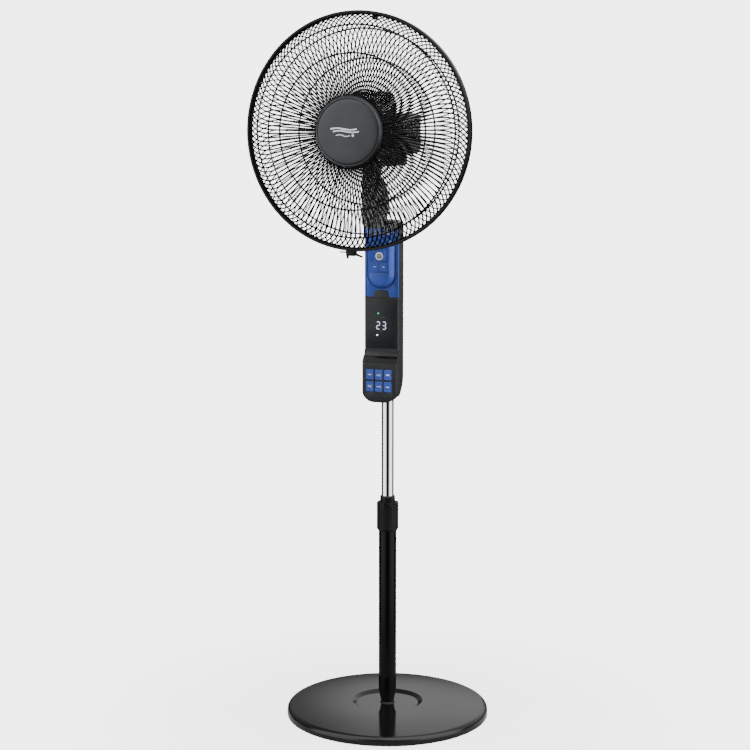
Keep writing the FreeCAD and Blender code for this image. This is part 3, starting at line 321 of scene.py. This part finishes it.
def makeGlossPaint(name, specular):
    look = glossPaint
    material = newMaterial(name, Specular_IOR_Level=specular)
    varyColour(material, look["cloudScale"], look["dark"], look["light"])
    varyRoughness(material, look["sheenScale"], *look["rough"])
    addGrain(material, look["peelScale"], look["peel"])
    return material


def makeMoulded(name, look, **more):
    material = newMaterial(name, **more)
    varyColour(material, moulding["cloudScale"], look["dark"], look["light"])
    varyRoughness(material, moulding["sheenScale"], *look["rough"])
    addGrain(material, look["grainScale"], look["grain"], moulding["grainDepth"])
    return material


def makeChrome():
    look = chromeTube
    material = newMaterial("chrome", Base_Color=look["colour"], Metallic=1.0)
    varyRoughness(material, look["sheenScale"], *look["rough"], stretch=look["drawn"])
    return material


def makeWirePaint():
    look = wirePaint
    material = newMaterial("black_wire", Specular_IOR_Level=look["specular"])
    varyColour(material, look["cloudScale"], look["dark"], look["light"])
    varyRoughness(material, look["sheenScale"], *look["rough"])
    addGrain(material, look["grainScale"], look["grain"])
    return material


def makeClear():
    look = clearBlade
    material = newMaterial("clear_plastic", Base_Color=look["colour"], Transmission_Weight=1.0,
                           IOR=look["bending"])
    varyRoughness(material, look["sheenScale"], *look["rough"])
    addGrain(material, look["waveScale"], look["wave"], look["waveDepth"])
    return material


def makeMetal(name, colour, rough, scale=300, stretch=(1, 1, 1)):
    material = newMaterial(name, Base_Color=(*colour, 1), Metallic=1.0)
    varyRoughness(material, scale, *rough, stretch=stretch)
    addGrain(material, scale * 2, 0.08, 0.0001, stretch=stretch)
    return material


def makeLamp(name, colour, strength):
    material = newMaterial(name, Base_Color=(*colour, 1), Emission_Color=(*colour, 1),
                           Emission_Strength=strength, Roughness=0.4)
    varyRoughness(material, lampFace["sheenScale"], *lampFace["rough"])
    return material


black = makeGlossPaint("gloss_black_paint", 0.10)
basePaint = makeGlossPaint("gloss_black_base", 0.32)
satin = makeMoulded("black_plastic", satinPlastic, Specular_IOR_Level=0.16)
charcoal = makeMoulded("charcoal_plastic", charcoalShell, Specular_IOR_Level=0.20)
badgeFinish = makeMoulded("badge_charcoal", {**charcoalShell, "rough": (0.28, 0.34), "grain": 0.05},
                          Specular_IOR_Level=0.36)
# a lighter copy of the charcoal for the motor's rear cover: painted light on its lit side
motorPaintedLight = makeMoulded("motor_charcoal_painted_light", {**charcoalShell, "dark": (0.040, 0.041, 0.042),
                                           "light": (0.055, 0.056, 0.058)}, Specular_IOR_Level=0.3)
blue = makeMoulded("blue_plastic", blueShell, Specular_IOR_Level=0.30)
# a darker copy of the blue plastic: painted shadow round the remote's foot and painted shade in the remote's
# grooves
navyShade = makeMoulded("navy_painted_shade", {**blueShell, "dark": (0.006, 0.016, 0.09), "light": (0.010, 0.024, 0.12)})
rimGloss = makeMoulded("gloss_black_plastic", {**satinPlastic, "rough": (0.12, 0.2), "grain": 0.05},
                       Specular_IOR_Level=0.12)
smoked = makeMoulded("smoked_lens", {**charcoalShell, "rough": (0.22, 0.30), "grain": 0.04},
                     Specular_IOR_Level=0.14)
# a near-black copy of the satin plastic, for painted shade in the groove round the middle keys
grooveShadeBlack = makeMoulded("groove_painted_shade", {**satinPlastic, "dark": (0.003, 0.003, 0.004),
                                         "light": (0.006, 0.006, 0.007)})
chrome = makeChrome()
wire = makeWirePaint()
clear = makeClear()
steel = makeMetal("steel", (0.52, 0.52, 0.53), (0.22, 0.38))
aluminium = makeMetal("aluminium", (0.60, 0.60, 0.61), (0.30, 0.45))
laminations = makeMetal("laminations", (0.30, 0.28, 0.27), (0.4, 0.55), 900, (1, 12, 1))
ballast = makeMoulded("ballast", {"dark": (0.05, 0.05, 0.05), "light": (0.10, 0.10, 0.10),
                                  "rough": (0.6, 0.8), "grainScale": 500, "grain": 0.6})
rubber = makeMoulded("rubber", {"dark": (0.012, 0.012, 0.012), "light": (0.02, 0.02, 0.02),
                                "rough": (0.75, 0.9), "grainScale": 1200, "grain": 0.4})
nylon = makeMoulded("nylon", {"dark": (0.70, 0.69, 0.63), "light": (0.80, 0.79, 0.74), "rough": (0.4, 0.55),
                              "grainScale": 900, "grain": 0.2}, Subsurface_Weight=0.1)
board = makeMoulded("circuit_board", {"dark": (0.01, 0.10, 0.035), "light": (0.02, 0.16, 0.06),
                                      "rough": (0.3, 0.5), "grainScale": 700, "grain": 0.3})
white = makeMoulded("white_plastic", {"dark": (0.90, 0.92, 0.95), "light": (0.95, 0.96, 0.98),
                                      "rough": (0.25, 0.35), "grainScale": 1500, "grain": 0.1})
printInk = makeMoulded("print_ink", {"dark": (0.80, 0.84, 0.90), "light": (0.88, 0.92, 0.96),
                                     "rough": (0.45, 0.6), "grainScale": 2500, "grain": 0.3})
greyInk = makeMoulded("grey_ink", {"dark": (0.12, 0.13, 0.16), "light": (0.16, 0.17, 0.20),
                                   "rough": (0.4, 0.5), "grainScale": 2500, "grain": 0.2})
litSegment = makeLamp("lit_segment", (0.75, 0.72, 1.0), 1.2)
greenLamp = makeLamp("green_lamp", (0.05, 0.75, 0.25), 1.2)
whiteLamp = makeLamp("white_lamp", (0.85, 0.83, 1.0), 3.0)

materialOfSlot = {
    "gloss_black_paint": black, "ballast": ballast, "rubber": rubber, "steel": steel, "black_plastic": satin,
    "gloss_black_plastic": rimGloss, "chrome": chrome, "charcoal_plastic": charcoal, "blue_plastic": blue,
    "smoked_lens": smoked, "circuit_board": board, "white_plastic": white, "nylon": nylon,
    "laminations": laminations, "aluminium": aluminium, "black_wire": wire, "clear_plastic": clear}

slotOfNode = {row["node"]: row["material_slot"] for row in frame["record"]["subparts"]}
bodyOfNode = {node: body for body, nodes in frame["record"]["behaviour"]["bodies"].items() for node in nodes}

for nodeName, nodeObject in frame["nodes"].items():
    nodeObject.data.materials.clear()
    nodeObject.data.materials.append(materialOfSlot[slotOfNode[nodeName]])
frame["nodes"]["base_cover"].data.materials[0] = basePaint
print("materials made:", len(bpy.data.materials))


# camera, floor and air: metres and degrees, and the lens and sensor in millimetres
studio = {"cameraAt": (1.1371, -3.1693, 1.1727), "pitch": 8.28, "turn": 20.16, "lens": 83.8, "sensor": 36,
          "floorRadius": 1.2, "floorShow": 0.35, "floorGlow": 0.8, "fadeFrom": 0.22, "fadeTo": 0.75,
          "air": 0.42, "backdrop": 4.6, "panels": 2.6}

# what glossy surfaces see: each ramp is (from, to, strength at from, strength at to)
tent = {"towardsCamera": (0.338, -0.941, 0), "towardsRight": (0.941, 0.338, 0),
        "slit": (0.72, 0.95, 1.0, 0.0), "sides": (-0.20, 0.15, 0.0, 1.0), "above": (-0.32, -0.24, 0.0, 1.0),
        "glowUp": (0.02, 0.40, 0.010, 1.2), "glowRight": (-0.14, 0.02, 0.3, 1.0)}

softLights = {
    "soft_left": {"at": (-2.3, -1.6, 1.8), "aim": (0, 0, 0.9), "size": (0.9, 2.0), "power": 60,
                  "colour": (1, 1, 1)},
    "soft_right": {"at": (2.4, 0.5, 1.2), "aim": (0, 0, 0.8), "size": (0.9, 2.6), "power": 95,
                   "colour": (1.0, 0.93, 0.82)},
    "soft_top": {"at": (0.3, -0.8, 3.0), "aim": (0, 0, 0.4), "size": (1.6, 1.2), "power": 55,
                 "colour": (1, 1, 1)}}


def makeCamera():
    bpy.ops.object.camera_add(location=studio["cameraAt"],
                              rotation=(math.radians(90 - studio["pitch"]), 0, math.radians(studio["turn"])))
    camera = bpy.context.object
    camera.data.lens = studio["lens"]
    camera.data.sensor_width = studio["sensor"]
    bpy.context.scene.camera = camera


def makeFloor():  # a pale disc that fades out into the white air
    clearSelection()
    bpy.ops.mesh.primitive_circle_add(vertices=96, radius=studio["floorRadius"], fill_type="NGON")
    floor = newest("floor")
    paper = newMaterial("studio_paper", Base_Color=(0.90, 0.90, 0.90, 1), Roughness=0.9,
                        Emission_Color=(1, 1, 1, 1), Emission_Strength=studio["floorGlow"])
    links = paper.node_tree.links
    coords = addNode(paper, "ShaderNodeTexCoord")
    distance = addNode(paper, "ShaderNodeVectorMath")
    distance.operation = "LENGTH"
    fade = addNode(paper, "ShaderNodeMapRange", From_Min=studio["fadeFrom"], From_Max=studio["fadeTo"],
                   To_Min=studio["floorShow"], To_Max=0.0)
    fade.interpolation_type = "SMOOTHSTEP"
    links.new(coords.outputs["Object"], distance.inputs[0])
    links.new(distance.outputs["Value"], fade.inputs["Value"])
    links.new(fade.outputs["Result"], paper.node_tree.nodes["Principled BSDF"].inputs["Alpha"])
    floor.data.materials.append(paper)


def makeAir():  # white behind the fan; for reflections, a light tent with a slit at the camera
    world = bpy.data.worlds.new("studio_air")
    bpy.context.scene.world = world
    world.use_nodes = True
    nodes, links = world.node_tree.nodes, world.node_tree.links
    nodes["Background"].inputs["Strength"].default_value = studio["air"]
    nodes["Background"].inputs["Color"].default_value = (1, 1, 1, 1)

    def background(strength):
        shader = nodes.new("ShaderNodeBackground")
        shader.inputs["Color"].default_value = (1, 1, 1, 1)
        shader.inputs["Strength"].default_value = strength
        return shader

    def ramp(source, values):
        node = nodes.new("ShaderNodeMapRange")
        node.interpolation_type = "SMOOTHSTEP"
        for key, value in zip(("From Min", "From Max", "To Min", "To Max"), values):
            node.inputs[key].default_value = value
        links.new(source, node.inputs["Value"])
        return node.outputs["Result"]

    def calculate(operation, first, second):
        node = nodes.new("ShaderNodeMath")
        node.operation = operation
        for socket, value in zip(node.inputs, (first, second)):
            if isinstance(value, float):
                socket.default_value = value
            else:
                links.new(value, socket)
        return node.outputs["Value"]

    def choose(factor, first, second):
        node = nodes.new("ShaderNodeMixShader")
        links.new(factor, node.inputs["Fac"])
        links.new(first, node.inputs[1])
        links.new(second, node.inputs[2])
        return node.outputs["Shader"]

    coords = nodes.new("ShaderNodeTexCoord")
    parts = nodes.new("ShaderNodeSeparateXYZ")
    links.new(coords.outputs["Generated"], parts.inputs["Vector"])

    def dotWith(direction):
        node = nodes.new("ShaderNodeVectorMath")
        node.operation = "DOT_PRODUCT"
        node.inputs[1].default_value = direction
        links.new(coords.outputs["Generated"], node.inputs[0])
        return node.outputs["Value"]

    facing, height = dotWith(tent["towardsCamera"]), parts.outputs["Z"]
    across = dotWith(tent["towardsRight"])
    slitAndSides = calculate("MULTIPLY", ramp(facing, tent["slit"]), ramp(facing, tent["sides"]))
    panels = calculate("MULTIPLY", slitAndSides, ramp(height, tent["above"]))
    behind = calculate("MULTIPLY", ramp(height, tent["glowUp"]), ramp(across, tent["glowRight"]))
    glossy = background(1.0)
    links.new(calculate("ADD", calculate("MULTIPLY", panels, studio["panels"]), behind),
              glossy.inputs["Strength"])
    path = nodes.new("ShaderNodeLightPath")
    seen = calculate("MAXIMUM", path.outputs["Is Camera Ray"], path.outputs["Is Transmission Ray"])
    lit = choose(path.outputs["Is Glossy Ray"], nodes["Background"].outputs[0], glossy.outputs[0])
    shown = choose(seen, lit, background(studio["backdrop"]).outputs[0])
    links.new(shown, nodes["World Output"].inputs["Surface"])


def addLight(name, look):
    clearSelection()
    bpy.ops.object.light_add(type="AREA", location=look["at"])
    light = bpy.context.object
    light.name = name
    light.data.shape = "RECTANGLE"
    light.data.size, light.data.size_y = look["size"]
    light.data.energy = look["power"]
    light.data.color = look["colour"]
    light.visible_glossy = False
    light.rotation_euler = (Vector(look["aim"]) - Vector(look["at"])).to_track_quat("-Z", "Y").to_euler()


makeCamera()
makeFloor()
makeAir()
for lightName, lightLook in softLights.items():
    addLight(lightName, lightLook)
print("studio ready")


# wire guards: profiles and rings are (radius, depth) in millimetres, swirl is in degrees
guardLook = {"wire": 3.0 * mm, "rearWire": 2.4 * mm, "ring": 3.1 * mm, "rimWire": 5.0 * mm,
             "frontWires": 138, "rearWires": 118, "swirl": 8.0, "bend": 9.0, "ringShift": 1.6}
frontProfile = [(61, -205.4), (100, -202.6), (141, -197), (175, -189), (192, -183), (204, -176.4),
                (213.0, -168.6)]
frontRings = [(141, -197), (192, -183)]
rearProfile = [(50, -95.0), (72, -98.6), (100, -105.4), (134, -118), (165, -130), (187, -140), (204, -150.6),
               (213.0, -161.8)]
rearRings = [(134, -118), (187, -140)]
plateProfile = [(22.3, -95), (35, -95), (37, -97), (48, -97), (51, -95.6), (52, -94.2), (51.6, -93.2),
                (47, -95.6), (37.6, -95.6), (35.6, -93.4), (22.3, -93.4)]


def makeWire(profile, swirl, thickness):  # nearly radial, then leaning over towards the rim
    points = []
    for radius, depth in profile:
        share = (radius - profile[0][0]) / (profile[-1][0] - profile[0][0])
        angle = math.radians(swirl) * share ** guardLook["bend"]
        points.append((radius * mm * math.sin(angle), depth * mm, hub.z + radius * mm * math.cos(angle)))
    return addTube("guard_wire", points, thickness)


def makeGuard(name, profile, count, swirl, thickness, rings, ringShift):
    look = guardLook
    parts = [joinAll(copyAround(makeWire(profile, swirl, thickness), count), name + "_wires")]
    for radius, depth in rings:
        parts.append(addRing(name + "_ring", radius * mm, look["ring"],
                             (0, (depth + ringShift) * mm, hub.z), 128, 6))
    radius, depth = profile[-1]
    parts.append(addRing(name + "_rim", radius * mm, look["rimWire"], (0, depth * mm, hub.z), 160, 10))
    return smooth(joinAll(parts, name), 60)


def makeGuards():
    look = guardLook
    front = makeGuard("wire_guard_front", frontProfile, look["frontWires"], look["swirl"], look["wire"],
                      frontRings, look["ringShift"])
    place(front, "head", wire, "black_wire", "front_guard")
    rear = makeGuard("wire_guard_rear", rearProfile, look["rearWires"], -look["swirl"], look["rearWire"],
                     rearRings, -look["ringShift"])
    plate = spinOutline("guard_plate", [(radius * mm, depth * mm) for radius, depth in plateProfile])
    smooth(plate, 40)
    rear = joinAll([rear, plate], "wire_guard_rear")
    place(rear, "head", wire, "black_wire", "rear_guard")


makeGuards()
print("guards made")


# badge: its side and the step round its face are (outwards, backwards) in millimetres
badgeLook = {"faceInset": 6.5 * mm, "crown": 2.2 * mm,
             "side": [(-2, 0), (-0.4, -0.6), (0, -2), (-0.2, -3.6)],
             "step": [(2.6, -0.9), (1.4, -1.0), (0.7, -0.4), (0.3, 0.3), (0, 0)]}
badgeMark = {"rows": ((-33, 18, 5.4, 2.8), (-28, 22, 0.8, 2.8), (-22, 5, -6.4, 1.8)), "wave": 1.5,
             "steps": 12, "dot": (10.5, -6.4, 2.5), "dotFlat": 0.12, "lift": 0.05 * mm, "proud": 0.25 * mm,
             "sunk": 0.3 * mm}


def makeBadge():
    radius = (badgeHigh.x - badgeLow.x) / 2
    front, back = badgeLow.y, badgeHigh.y
    face = radius - badgeLook["faceInset"]
    lip = front + badgeLook["crown"]
    profile = [(0, back)]
    profile += [(radius + out * mm, back + deep * mm) for out, deep in badgeLook["side"]]
    profile += [(face + out * mm, lip + deep * mm) for out, deep in badgeLook["step"]]
    for angle in range(10, 91, 10):
        turn = math.radians(angle)
        profile.append((max(face * math.cos(turn), 0), lip - badgeLook["crown"] * math.sin(turn)))
    badge = smooth(spinOutline("badge_disc", profile, steps=128), 30)
    return place(badge, "head", badgeFinish, "charcoal_plastic", "hub_badge")


def frontDepth(radius):  # depth of the badge's domed face at a distance from its centre
    face = (badgeHigh.x - badgeLow.x) / 2 - badgeLook["faceInset"]
    return badgeLow.y + badgeLook["crown"] * (1 - math.sqrt(max(0, 1 - (radius / face) ** 2)))


def flatten(stroke):  # presses a printed stroke down to a thin skin on the dome
    for vertex in stroke.data.vertices:
        x, y, z = vertex.co
        surface = frontDepth(math.hypot(x, z - hub.z))
        vertex.co.y = surface + max(-badgeMark["proud"], min(badgeMark["sunk"], y - surface))
    return stroke


def makeBadgeMark():  # three lines of moving air and a dot, printed on the badge
    look = badgeMark
    marks = []
    for x0, x1, up, line in look["rows"]:
        points = []
        for step in range(look["steps"] + 1):
            x = (x0 + (x1 - x0) * step / look["steps"]) * mm
            z = (up + look["wave"] * math.sin(step / look["steps"] * fullTurn)) * mm
            points.append((x, frontDepth(math.hypot(x, z)) - look["lift"], hub.z + z))
        marks.append(flatten(addTube("mark_line", points, line * mm)))
    clearSelection()
    x, up, radius = look["dot"]
    depth = frontDepth(math.hypot(x, up) * mm)
    bpy.ops.mesh.primitive_uv_sphere_add(segments=20, ring_count=10, radius=radius * mm,
                                         location=(x * mm, depth, hub.z + up * mm),
                                         scale=(1, look["dotFlat"], 1))
    marks.append(freeze(newest("mark_dot")))
    mark = smooth(joinAll(marks, "badge_mark"), 60)
    return place(mark, "head", printInk, "white_plastic")


makeBadge()
makeBadgeMark()
print("badge made")


# housings: welded copies of the CAD shells, with the width of their softened edges in millimetres
softened = {
    "column_front": 0.5, "column_rear": 0.5, "column_cap": 0.5, "blue_panel": 0.4, "display_lens": 0.3,
    "remote_front": 0.4, "neck_arm": 1.6, "tilt_bracket": 1.6, "motor_front_cover": 0.5,
    "motor_rear_cover": 0.5, "latch_body": 0.4, "latch_lever": 0.4}


def softenHousings():
    for node, width in softened.items():
        piece = takeNode(node, node + "_finished", width * mm)
        slotName = slotOfNode[node]
        # the motor's rear cover gets the lighter charcoal, which is painted light
        material = motorPaintedLight if node == "motor_rear_cover" else materialOfSlot[slotName]
        place(piece, bodyOfNode[node], material, slotName, node)


softenHousings()
print("housings softened:", len(softened))


poleLook = {"outerWall": 1.5 * mm, "innerWall": 1.2 * mm, "lip": 0.4 * mm, "rings": 12}


def makePole(node, wall, material, slotName, body):  # a tube with softened lips, in rings for an even shine
    low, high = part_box(node)
    radius, lip, rings = (high.x - low.x) / 2, poleLook["lip"], poleLook["rings"]
    profile = [(radius, low.z + lip + (high.z - low.z - 2 * lip) * step / rings) for step in range(rings + 1)]
    profile += [(radius - lip, high.z), (radius - wall, high.z), (radius - wall, low.z),
                (radius - lip, low.z)]
    place(turnUpright(node + "_finished", profile), body, material, slotName, node)


makePole("outer_pole", poleLook["outerWall"], black, "gloss_black_paint", "stand")
makePole("inner_pole", poleLook["innerWall"], chrome, "chrome", "column")
print("poles made")


# keypad: plain symbols on the keys, a dark loop round the middle pair that is painted shade of the groove
# there, and a glossy strip above that is painted shadow on the slope
legend = {"line": 1.15 * mm, "sunk": 0.25 * mm}
keyGrooveLook = {"gap": 1.4, "corner": 3.0, "line": 2.2 * mm, "sunk": 0.1 * mm}
# the gloss black strip on the lower slope above the keypad is painted shadow of the dark band there
slopeShadowStrip = {"foot": Vector((0, -50.6, 712.0)), "head": Vector((0, -36.0, 736.0)), "from": 0.02, "to": 0.56,
             "proud": 0.2, "thick": 0.6, "halfWidth": 34.6, "softEdge": 0.1 * mm}


def arcPoints(radius, fromAngle, toAngle, count, centre=(0, 0)):
    points = []
    for step in range(count):
        angle = math.radians(fromAngle + (toAngle - fromAngle) * step / (count - 1))
        points.append((centre[0] + radius * math.cos(angle), centre[1] + radius * math.sin(angle)))
    return points


def waveLine(height):
    return [(-3.8 + 7.6 * step / 8, height + 0.6 * math.sin(step / 8 * fullTurn)) for step in range(9)]


iconStrokes = {  # each stroke is a list of (across, up) in millimetres from the key's middle
    "power": [arcPoints(2.1, 125, 415, 13, (0, 0.4)), [(0, 0.8), (0, 3.0)]],
    "speed": [[(-3.8, -0.6), (-1.9, -0.6)], [(-0.9, 0), (0.9, 0)], [(1.9, 0.6), (3.8, 0.6)],
              [(-3.8, -2), (3.8, -2)]],
    "timer": [[(-3.8, 1.1), (3.8, 1.1)], [(-3.8, -1.1), (3.8, -1.1)], [(-3.8, 1.1), (3.8, -1.1)],
              [(-3.8, -1.1), (3.8, 1.1)]],
    "mode": [waveLine(1.1), waveLine(-0.9)],
    "swing": [[(-3.9, 0), (3.9, 0)], [(-2.6, 1.1), (-3.9, 0), (-2.6, -1.1)],
              [(2.6, 1.1), (3.9, 0), (2.6, -1.1)]],
    "sleep": [[(-3.4, 0.4), (-1.8, -0.9), (0, -1.2), (1.8, -0.9), (3.4, 0.4)],
              [(-3.4, 0.4), (0, -0.1), (3.4, 0.4)]],
    "start": [arcPoints(1.3, 125, 415, 11), [(0, 0.4), (0, 1.8)], [(-3.9, -0.6), (-2.2, -0.6)],
              [(2.2, -0.6), (3.9, -0.6)]],
    "minus": [[(-2.6, 0), (2.6, 0)]],
    "plus": [[(-2.6, 0), (2.6, 0)], [(0, -1.5), (0, 1.5)]]}


def drawIcon(name, strokes, at, line, ink, body, stretch=(1, 1)):  # raised lines on a face towards -Y
    tubes = []
    for stroke in strokes:
        points = [(at.x + across * stretch[0] * mm, at.y + legend["sunk"], at.z + up * stretch[1] * mm)
                  for across, up in stroke]
        tubes.append(addTube("stroke", points, line))
    icon = smooth(joinAll(tubes, name), 60)
    return place(icon, body, ink, "white_plastic")


def faceMiddle(node):
    low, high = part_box(node)
    return Vector(((low.x + high.x) / 2, low.y, (low.z + high.z) / 2))


def makeKeyLegends():
    for key, icon in (("power", "start"), ("speed", "speed"), ("timer", "timer"), ("mode", "mode"),
                      ("swing", "swing"), ("sleep", "sleep")):
        drawIcon("legend_" + key, iconStrokes[icon], faceMiddle("key_" + key), legend["line"], printInk,
                 "key_" + key)


# the dark loop round the middle keys is painted shade of the groove between the keys and the face
def makeKeyGrooveShade():
    look = keyGrooveLook
    low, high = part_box("key_speed")
    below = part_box("key_swing")[0]
    face = min(vertex.co.y for vertex in frame["nodes"]["column_front"].data.vertices)
    halfWide = (high.x - low.x) / 2 / mm + look["gap"]
    middle = (high.z + below.z) / 2
    halfTall = (high.z - below.z) / 2 / mm + look["gap"]
    corner = look["corner"]
    points = []
    for cx, cz, fromAngle in ((1, 1, 0), (-1, 1, 90), (-1, -1, 180), (1, -1, 270)):
        centre = (cx * (halfWide - corner), cz * (halfTall - corner))
        points += arcPoints(corner, fromAngle, fromAngle + 90, 4, centre)
    points.append(points[0])
    path = [(across * mm, face + look["sunk"], middle + up * mm) for across, up in points]
    loop = smooth(addTube("key_groove_painted_shade", path, look["line"], sides=8), 60)
    return place(loop, "column", grooveShadeBlack, "black_plastic")


# a gloss black strip on the slope above the keypad, as painted shadow
def makeSlopeShadowStrip():
    look = slopeShadowStrip
    along = look["head"] - look["foot"]
    out = Vector((0, -along.z, along.y)).normalized()
    near, far = look["foot"] + along * look["from"], look["foot"] + along * look["to"]
    skins = (near + out * look["proud"], far + out * look["proud"],
             far - out * (look["thick"] - look["proud"]), near - out * (look["thick"] - look["proud"]))
    outline = [(-look["halfWidth"] * mm, point.y * mm, point.z * mm) for point in skins]
    strip = pushOutline("slope_painted_shadow", outline, (2 * look["halfWidth"] * mm, 0, 0))
    bevelEdges(strip, look["softEdge"])
    return place(strip, "column", rimGloss, "gloss_black_plastic")


makeKeyLegends()
makeKeyGrooveShade()
makeSlopeShadowStrip()
print("keypad finished")


# display: two digits of lit bars, two lamps (name, across, up, radius) and three marks (from, to, up)
display = {"high": 16.0, "wide": 8.0, "inset": 1.0, "stroke": 1.35, "gap": 0.5, "proud": 0.12 * mm,
           "sunk": 0.1 * mm, "segments": {2: "abged", 3: "abgcd"}, "digits": ((-6.8, 2), (5.4, 3)),
           "up": 783.6}
lampLook = {"rows": (("lamp_green", -6.6, 807, 1.5, greenLamp), ("lamp_white", -8.7, 765, 1.6, whiteLamp)),
            "thick": 0.4 * mm, "sunk": 0.06 * mm, "softEdge": 0.08 * mm}
markLook = {"rows": ((-0.8, 1.2, 799.4), (3.6, 6.4, 799.8), (-3.2, 0.4, 772.8)), "halfHigh": 0.45,
            "proud": 0.08 * mm, "sunk": 0.1 * mm}
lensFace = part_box("display_lens")[0].y


def segmentBar(across, up, length, upright):
    half, stroke = length / 2, display["stroke"] / 2
    flat = [(-half, 0), (-half + stroke, stroke), (half - stroke, stroke), (half, 0),
            (half - stroke, -stroke), (-half + stroke, -stroke)]
    if upright:
        flat = [(z, -x) for x, z in flat]
    points = [((across + x) * mm, lensFace - display["proud"], (up + z) * mm) for x, z in flat]
    return pushOutline("segment", points, (0, display["proud"] + display["sunk"], 0))


def makeDigits():
    half, tall = display["wide"] / 2 - display["inset"], display["high"] / 2 - display["inset"]
    places = {"a": (0, tall, False), "b": (half, tall / 2, True), "c": (half, -tall / 2, True),
              "d": (0, -tall, False), "e": (-half, -tall / 2, True), "g": (0, 0, False)}
    bars = []
    for middle, digit in display["digits"]:
        for letter in display["segments"][digit]:
            x, z, upright = places[letter]
            length = (tall if upright else 2 * half) - display["gap"]
            bars.append(segmentBar(middle + x, display["up"] + z, length, upright))
    return place(joinAll(bars, "display_digits"), "column", litSegment, "white_plastic")


def makeLamps():
    for name, across, up, radius, glow in lampLook["rows"]:
        centre = (across * mm, lensFace + lampLook["sunk"], up * mm)
        lamp = addDisc(name, radius * mm, lampLook["thick"], centre, 24)
        bevelEdges(lamp, lampLook["softEdge"])
        place(lamp, "column", glow, "white_plastic")


def makeDisplayMarks():
    look = markLook
    marks = []
    for x0, x1, z in look["rows"]:
        marks.append(addBox("mark", (x0 * mm, lensFace - look["proud"], (z - look["halfHigh"]) * mm),
                            (x1 * mm, lensFace + look["sunk"], (z + look["halfHigh"]) * mm)))
    place(joinAll(marks, "display_marks"), "column", greyInk, "white_plastic")


makeDigits()
makeLamps()
makeDisplayMarks()
print("display finished")


# remote control: heights, half widths and lines in millimetres where mm isn't named
remoteLook = {"discRadius": 5.0, "discThick": 0.8 * mm, "discProud": 0.15 * mm, "discEdge": 0.12 * mm,
              "icon": 0.95 * mm, "label": 1.0 * mm, "labelStretch": (1.1, 0.7)}
grooveLook = {"heights": (908, 887), "halfWide": 19.0, "halfHigh": 0.5, "proud": 0.10 * mm, "sunk": 0.3 * mm,
              "softEdge": 0.08 * mm}
# the dark line round the remote's foot is painted shadow
footShadowLook = {"line": 2.0, "gap": 0.5, "sunk": 0.3 * mm}


def makeRemoteFootShadow():  # the dark line on the panel round the remote's foot: painted shadow where the remote stands out
    low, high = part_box("remote_front")
    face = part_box("blue_panel")[0].y
    half = (high.x - low.x) / 2 / mm + footShadowLook["line"] / 2 + footShadowLook["gap"]
    top, middle = high.z / mm, low.z / mm + (high.x - low.x) / 2 / mm
    outline = [(-half, top), (-half, (top + middle) / 2)]
    outline += arcPoints(half, 180, 360, 15, (0, middle))
    outline += [(half, (top + middle) / 2), (half, top)]
    path = [(across * mm, face + footShadowLook["sunk"], up * mm) for across, up in outline]
    footShadow = smooth(addTube("remote_foot_painted_shadow", path, footShadowLook["line"] * mm, sides=8), 60)
    return place(footShadow, "column", navyShade, "blue_plastic")


def makeRemoteGrooves():  # two dark strips across the face for its two grooves: their dark is painted shade of the grooves
    look = grooveLook
    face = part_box("remote_front")[0].y
    half = look["halfWide"]
    for row, up in enumerate(look["heights"]):
        line = addBox("remote_groove_%d" % (row + 1),
                      (-half * mm, face - look["proud"], (up - look["halfHigh"]) * mm),
                      (half * mm, face + look["sunk"], (up + look["halfHigh"]) * mm))
        bevelEdges(line, look["softEdge"])
        # the navy colour of each strip is painted groove shade
        place(line, "remote", navyShade, "blue_plastic")


def makeRemoteMarks():
    look = remoteLook
    middle = faceMiddle("power_button")
    disc = addDisc("power_disc", look["discRadius"] * mm, look["discThick"],
                   middle + Vector((0, look["discThick"] / 2 - look["discProud"], 0)), 48)
    bevelEdges(disc, look["discEdge"])
    place(disc, "remote_power", greyInk, "white_plastic")
    iconAt = middle - Vector((0, look["discProud"], 0))
    drawIcon("power_icon", iconStrokes["power"], iconAt, look["icon"], white, "remote_power")
    for name, body in (("minus", "remote_less"), ("plus", "remote_more")):
        drawIcon(name + "_icon", iconStrokes[name], faceMiddle("remote_" + name), look["label"], printInk,
                 body, look["labelStretch"])


makeRemoteFootShadow()
makeRemoteGrooves()
makeRemoteMarks()
print("remote finished")
